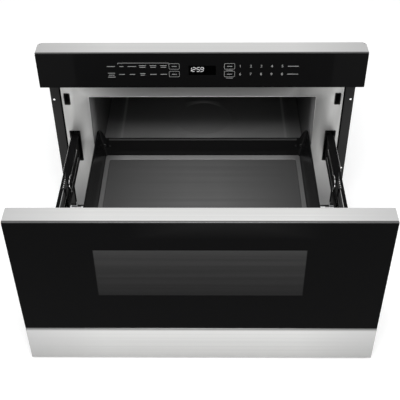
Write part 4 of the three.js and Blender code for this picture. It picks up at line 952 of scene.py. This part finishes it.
def dash(x, z, wide, tall=0.9):
    """A flat bar with its middle at x, z."""
    return rectangle(x - wide / 2, x + wide / 2, z - tall / 2, z + tall / 2)


def legends():
    """Generic marks in place of words: dashes and rounded key outlines, just proud of the glass."""
    marks = []
    for z, widths, counts in zip(KEY_ROWS, KEY_WIDTHS, KEY_LINES):
        for x, wide, count in zip(KEY_COLUMNS, widths, counts):
            marks += [dash(x, z + up, wide * share, tall) for up, share, tall in LINE_PLACES[count]]
        marks += [dash(-50.2, z, 9.0), dash(51.5, z, 9.5), dash(51.5, z - 8.2, 12.0, 0.7),
                  dash(168.0, z, 20.0)]
    bracket = [dash(-107.0, 383.7, 92.8, 0.6), dash(-153.3, 382.6, 0.6, 2.4), dash(-60.7, 382.6, 0.6, 2.4)]
    y = PANEL_Y - 0.04
    mesh("key_dashes", flat_on("y", y, marks + bracket), "case", legend_white, "sensor_film")

    stroke = rectangle(0.25, -0.25, y, y - 0.01)
    rings = [ring_round(eased(rectangle(*across, *upright), 2.4), [stroke[i] for i in (0, 3, 2, 1)])
             for across in ((-59.7, -40.7), (41.9, 61.1)) for upright in ((370.7, 382.4), (354.5, 366.3))]
    mesh("key_outlines", rings, "case", legend_white, "sensor_film")


def text_mesh(text, size, x, z):
    """Points in mm and faces of one printed line, standing upright and facing the front."""
    curve = bpy.data.curves.new("print", "FONT")
    curve.body, curve.size, curve.align_x, curve.align_y = text, size, "CENTER", "CENTER"
    holder = bpy.data.objects.new("print", curve)
    bpy.context.scene.collection.objects.link(holder)
    bpy.context.view_layer.update()
    shape = bpy.data.meshes.new_from_object(holder.evaluated_get(bpy.context.evaluated_depsgraph_get()))
    at = np.zeros(len(shape.vertices) * 3)
    shape.vertices.foreach_get("co", at)
    at = at.reshape(-1, 3)
    faces = [list(face.vertices) for face in shape.polygons]
    bpy.data.objects.remove(holder)
    bpy.data.curves.remove(curve)
    bpy.data.meshes.remove(shape)
    return to_axis("y", PANEL_Y - 0.045, at[:, 0] + x, at[:, 1] + z), faces


def key_digits():
    parts = [text_mesh(digit, 7.4, x, z)
             for digits, z in zip(("12345", "67890"), KEY_ROWS) for digit, x in zip(digits, DIGIT_COLUMNS)]
    mesh("key_digits", parts, "case", legend_white, "sensor_film")


def segment(start, end, thick):
    """A six-cornered bar from start to end, a little short of both: its tips lie on the line, its
    other corners half a thickness along and to the side of them."""
    short = 0.25
    p, q = np.asarray(start, float), np.asarray(end, float)
    along = unit(q - p)
    side = np.array([-along[1], along[0]]) * thick / 2
    p, q = p + along * short, q - along * short
    near, far = p + along * thick / 2, q - along * thick / 2
    return np.array([p, near + side, far + side, q, far - side, near - side])


def clock_lens():
    """The dark pane that the clock's figures stand on."""
    lens = eased(rectangle(-23.8, 26.3, 358.4, 378.0), 0.8)
    mesh("clock_lens", flat_on("y", PANEL_Y - 0.02, [lens]), "case", clock_black, "black_glass")


def clock_digits():
    """Seven-segment figures and a colon that lean: x grows by lean times the height."""
    wide, tall, thick, low, lean = 5.1, 8.5, 1.25, 365.7, 0.15
    columns, colon_x = (-24.3, -17.6, -9.3, -2.3), -10.5
    mid = tall / 2
    ends = {"a": ((0, tall), (wide, tall)), "b": ((wide, mid), (wide, tall)), "c": ((wide, 0), (wide, mid)),
            "d": ((0, 0), (wide, 0)), "e": ((0, 0), (0, mid)), "f": ((0, mid), (0, tall)),
            "g": ((0, mid), (wide, mid))}
    lit = {"1": "bc", "2": "abged", "5": "afgcd", "9": "abcdfg"}
    strokes = [(*ends[key], x0) for figure, x0 in zip("1259", columns) for key in lit[figure]]
    strokes += [((0, z - 0.7), (0, z + 0.7), colon_x) for z in (2.9, 6.3)]
    outlines = []
    for start, end, x0 in strokes:
        x, z = segment(start, end, thick).T
        outlines.append(np.stack([x + lean * z + x0, z + low], -1))
    mesh("clock_digits", flat_on("y", PANEL_Y - 0.05, outlines), "case", clock_glow, "sensor_film")


# ---------------------------------------------------------------- case outside
def hex_screw():
    """Washer-head screw along +y, from rows of (radius, y). Round the head the radius becomes
    r cos 30 / cos a, where a is the angle from the middle of the nearest of its six flats."""
    u = circle(24)
    flats = np.cos(np.pi / 6) / np.cos((u + np.pi / 6) % (np.pi / 3) - np.pi / 6)
    washer = [(5.2, 0.0), (5.2, 0.5), (4.9, 0.8)]
    head = [(3.9, 0.9), (3.9, 2.9), (3.5, 3.3)]
    dish = [(2.2, 3.3), (1.6, 2.7)]
    rows = [(r, y) for r, y in washer] + [(r * flats, y) for r, y in head] + [(r, y) for r, y in dish]
    return grid(np.stack([to_axis("y", y, r * np.cos(u), r * np.sin(u)) for r, y in rows]), around=True)


def pressed_bead(length, width, height, steps=7):
    """A long low bead: height falls as a cosine of the distance from its spine, the spine being
    a straight line with round ends. Rows go from its rim to its spine, columns round it."""
    q = np.linspace(-np.pi / 2, np.pi / 2, 9)
    turn = np.concatenate([q, q + np.pi])
    spine = np.where(np.arange(len(turn)) < len(q), 1.0, -1.0) * (length - width) / 2
    d = np.linspace(1, 0, steps)[:, None]
    x = spine + d * np.cos(turn) * width / 2
    y = d * np.sin(turn) * width / 2
    z = height * (0.5 + 0.5 * np.cos(np.pi * d)) + 0 * x
    skirt = np.stack([x[0], y[0], z[0] - 0.3], -1)[None]
    return grid(np.concatenate([skirt, np.stack([x, y, z], -1)]), around=True)


def louvre():
    """A hood over one slot: along z it rises and falls as 1 - |t|^6, and across y it leans out as a
    quarter of a sine wave, most at its open edge."""
    lean, wide, half_tall = 2.6, 8.0, 36.0
    z = np.linspace(-1, 1, 17)[None]
    v = np.linspace(0, 1, 7)[:, None]
    x = lean * (1 - np.abs(z) ** 6) * np.sin(v * np.pi / 2)
    outer = np.stack([x, (v - 0.5) * wide + 0 * z, half_tall * z + 0 * v], -1)
    inner = outer[::-1] - (0.6, 0, 0)
    inner[..., 0] = np.maximum(inner[..., 0], -0.3)
    return grid(np.concatenate([outer, inner, outer[:1]]), lids=False)


def case_outside():
    """Pressed beads on the case, hooded louvres over its side slots, and its screws."""
    top_at = [(0, y, CASE_TOP) for y in (90.0, 190.0, 290.0, 390.0, 490.0)]
    mesh("case_top_beads", [copies(pressed_bead(430.0, 22.0, 0.9), top_at)], "case", zinc, "zinc_steel")

    screw = hex_screw()
    side_bead = swapped(pressed_bead(300.0, 18.0, 1.2), [2, 0, 1])
    side_screw = swapped(screw, [1, 0, 2])
    beads = copies(side_bead, [(CASE_X, 230.0, z) for z in (70.0, 300.0)])
    screws = copies(side_screw, [(CASE_X, y, 14.0) for y in (30.0, 200.0, 370.0, 530.0)])
    hoods = copies(louvre(), [(CASE_X, 443.0 + 12.0 * i, 215.0) for i in range(6)])
    mesh_pairs("case",
               ("case_side_beads", [beads], zinc, "zinc_steel"),
               ("case_side_screws", [screws], screw_steel, "screw_steel"),
               ("case_louvres", [hoods], zinc, "zinc_steel"))

    rear = [(x, CASE_BACK, z) for x in (-266.0, -90.0, 90.0, 266.0) for z in (14.0, 362.0)]
    rear += [(x, CASE_BACK, z) for x in (-266.0, 266.0) for z in (130.0, 246.0)]
    mesh("rear_screws", [copies(screw, rear)], "case", screw_steel, "screw_steel")
    rear_bead = swapped(pressed_bead(150.0, 16.0, 1.2), [0, 2, 1])
    rear_at = [(x, CASE_BACK, 320.0) for x in (-150.0, 150.0)]
    mesh("rear_beads", [copies(rear_bead, rear_at)], "case", zinc, "zinc_steel")


def stirrer_disc():
    """Round cover on the cavity floor: its ring slopes up from the floor and steps down inside."""
    foot, inside = CAVITY_LOW + 0.05, CAVITY_LOW + 0.25
    ring = [(1.0, foot), (79.0, foot), (78.6, foot + 0.1), (65.6, 92.85), (64.2, 92.95), (63.0, 92.85),
            (60.6, 92.4), (59.8, 92.3)]
    disc = turned(ring + [(r, inside) for r in (57.0, 40.0, 24.0, 8.0, 1.0)], (0, STIRRER_Y, 0), "z", 96)
    mesh("stirrer_disc", [disc], "case", black_ceramic, "black_ceramic", ["stirrer_cover"])


for make in (trim, face_frame, frame_fittings, middle_rail, ball_cage, drawer_rail, pressed_tray, tray_floor,
             legends, clock_lens, key_digits, clock_digits, case_outside, stirrer_disc):
    make()


# ---------------------------------------------------------------- studio
def photo_camera():
    """The photograph's view, from in front and above: it looks down by 90 degrees less the first of
    the three angles about x, y and z."""
    place = Vector((0.01761, -1.30001, 1.12356))
    turn = Euler(np.radians((48.54717, 0.4489, 0.54381)))
    data = bpy.data.cameras.new("photo_camera")
    data.lens = 70.5549
    data.sensor_width = 36.0
    data.shift_x = -0.0035025
    data.shift_y = 0.0366641
    data.clip_end = 60.0
    camera = bpy.data.objects.new("photo_camera", data)
    camera.matrix_world = Matrix.Translation(place) @ turn.to_matrix().to_4x4()
    bpy.context.scene.collection.objects.link(camera)
    bpy.context.scene.camera = camera


def seen_directly(tree):
    """1 for rays from the camera, a mirror or glass, else 0."""
    rays = node(tree, "ShaderNodeLightPath").outputs
    either = maths(tree, "MAXIMUM", rays["Is Glossy Ray"], rays["Is Transmission Ray"])
    return maths(tree, "MAXIMUM", rays["Is Camera Ray"], either)


def shader(tree, kind, grey, strength=None):
    """A background, emission or diffuse shader of one grey."""
    inputs = {"Color": (*rgb(grey), 1.0)}
    if strength is not None:
        inputs["Strength"] = strength
    return node(tree, kind, inputs).outputs[0]


def chosen(tree, share, first, second):
    """The second shader by a share, else the first."""
    return node(tree, "ShaderNodeMixShader", {0: share, 1: first, 2: second}).outputs[0]


def sky():
    """Soft light from all round, seen as plain white."""
    world = bpy.data.worlds.new("studio")
    bpy.context.scene.world = world
    world.use_nodes = True
    tree = world.node_tree
    tree.nodes.clear()
    light = shader(tree, "ShaderNodeBackground", 1.0, 0.46)
    white = shader(tree, "ShaderNodeBackground", 1.0, 1.0)
    node(tree, "ShaderNodeOutputWorld", {"Surface": chosen(tree, seen_directly(tree), light, white)})


def floor():
    """White paper that keeps the object's shadow; where it is seen directly, a glow that grows with
    the distance from the object brings it up to the white of the sky."""
    paper = bpy.data.materials.new("floor_white")
    paper.use_nodes = True
    tree = paper.node_tree
    tree.nodes.clear()
    matt = shader(tree, "ShaderNodeBsdfDiffuse", 0.78)
    away = vector_maths(tree, "LENGTH", node(tree, "ShaderNodeTexCoord").outputs["Object"])
    rising = node(tree, "ShaderNodeMapRange", {"Value": away, "From Min": 1.2, "From Max": 4.0,
                                               "To Min": 0.37, "To Max": 0.66}).outputs[0]
    glow = shader(tree, "ShaderNodeEmission", 1.0, rising)
    none = shader(tree, "ShaderNodeEmission", 0.0, 0.0)
    lift = chosen(tree, seen_directly(tree), none, glow)
    total = node(tree, "ShaderNodeAddShader", {0: matt, 1: lift}).outputs[0]
    node(tree, "ShaderNodeOutputMaterial", {"Surface": total})

    half = 45.0
    data = bpy.data.meshes.new("studio_floor")
    data.from_pydata([(x, y, 0.0) for x, y in rectangle(-half, half, -half, half)], [], [[0, 1, 2, 3]])
    data.materials.append(paper)
    sheet = bpy.data.objects.new("studio_floor", data)
    bpy.context.scene.collection.objects.link(sheet)


def lamps():
    """Square lamps: name, place, aim, side and power in watts."""
    for name, place, aim, size, watts in (
        ("lamp_above", (0.0, -0.4, 2.6), (0.0, 0.0, 0.1), 2.2, 16.0),
        ("lamp_front", (0.0, -1.4, 2.6), (0.0, 0.0, 0.15), 1.5, 38.0),
        ("lamp_left", (-2.4, -1.6, 1.8), (0.0, -0.1, 0.2), 1.4, 10.0),
        ("lamp_right", (2.4, -1.6, 1.6), (0.0, -0.1, 0.2), 1.4, 7.0),
    ):
        data = bpy.data.lights.new(name, "AREA")
        data.shape, data.size, data.energy = "SQUARE", size, watts
        lamp = bpy.data.objects.new(name, data)
        turn = (Vector(aim) - Vector(place)).to_track_quat("-Z", "Y")
        lamp.matrix_world = Matrix.Translation(place) @ turn.to_matrix().to_4x4()
        bpy.context.scene.collection.objects.link(lamp)


photo_camera()
sky()
floor()
lamps()
bpy.context.scene.view_settings.view_transform = "Standard"
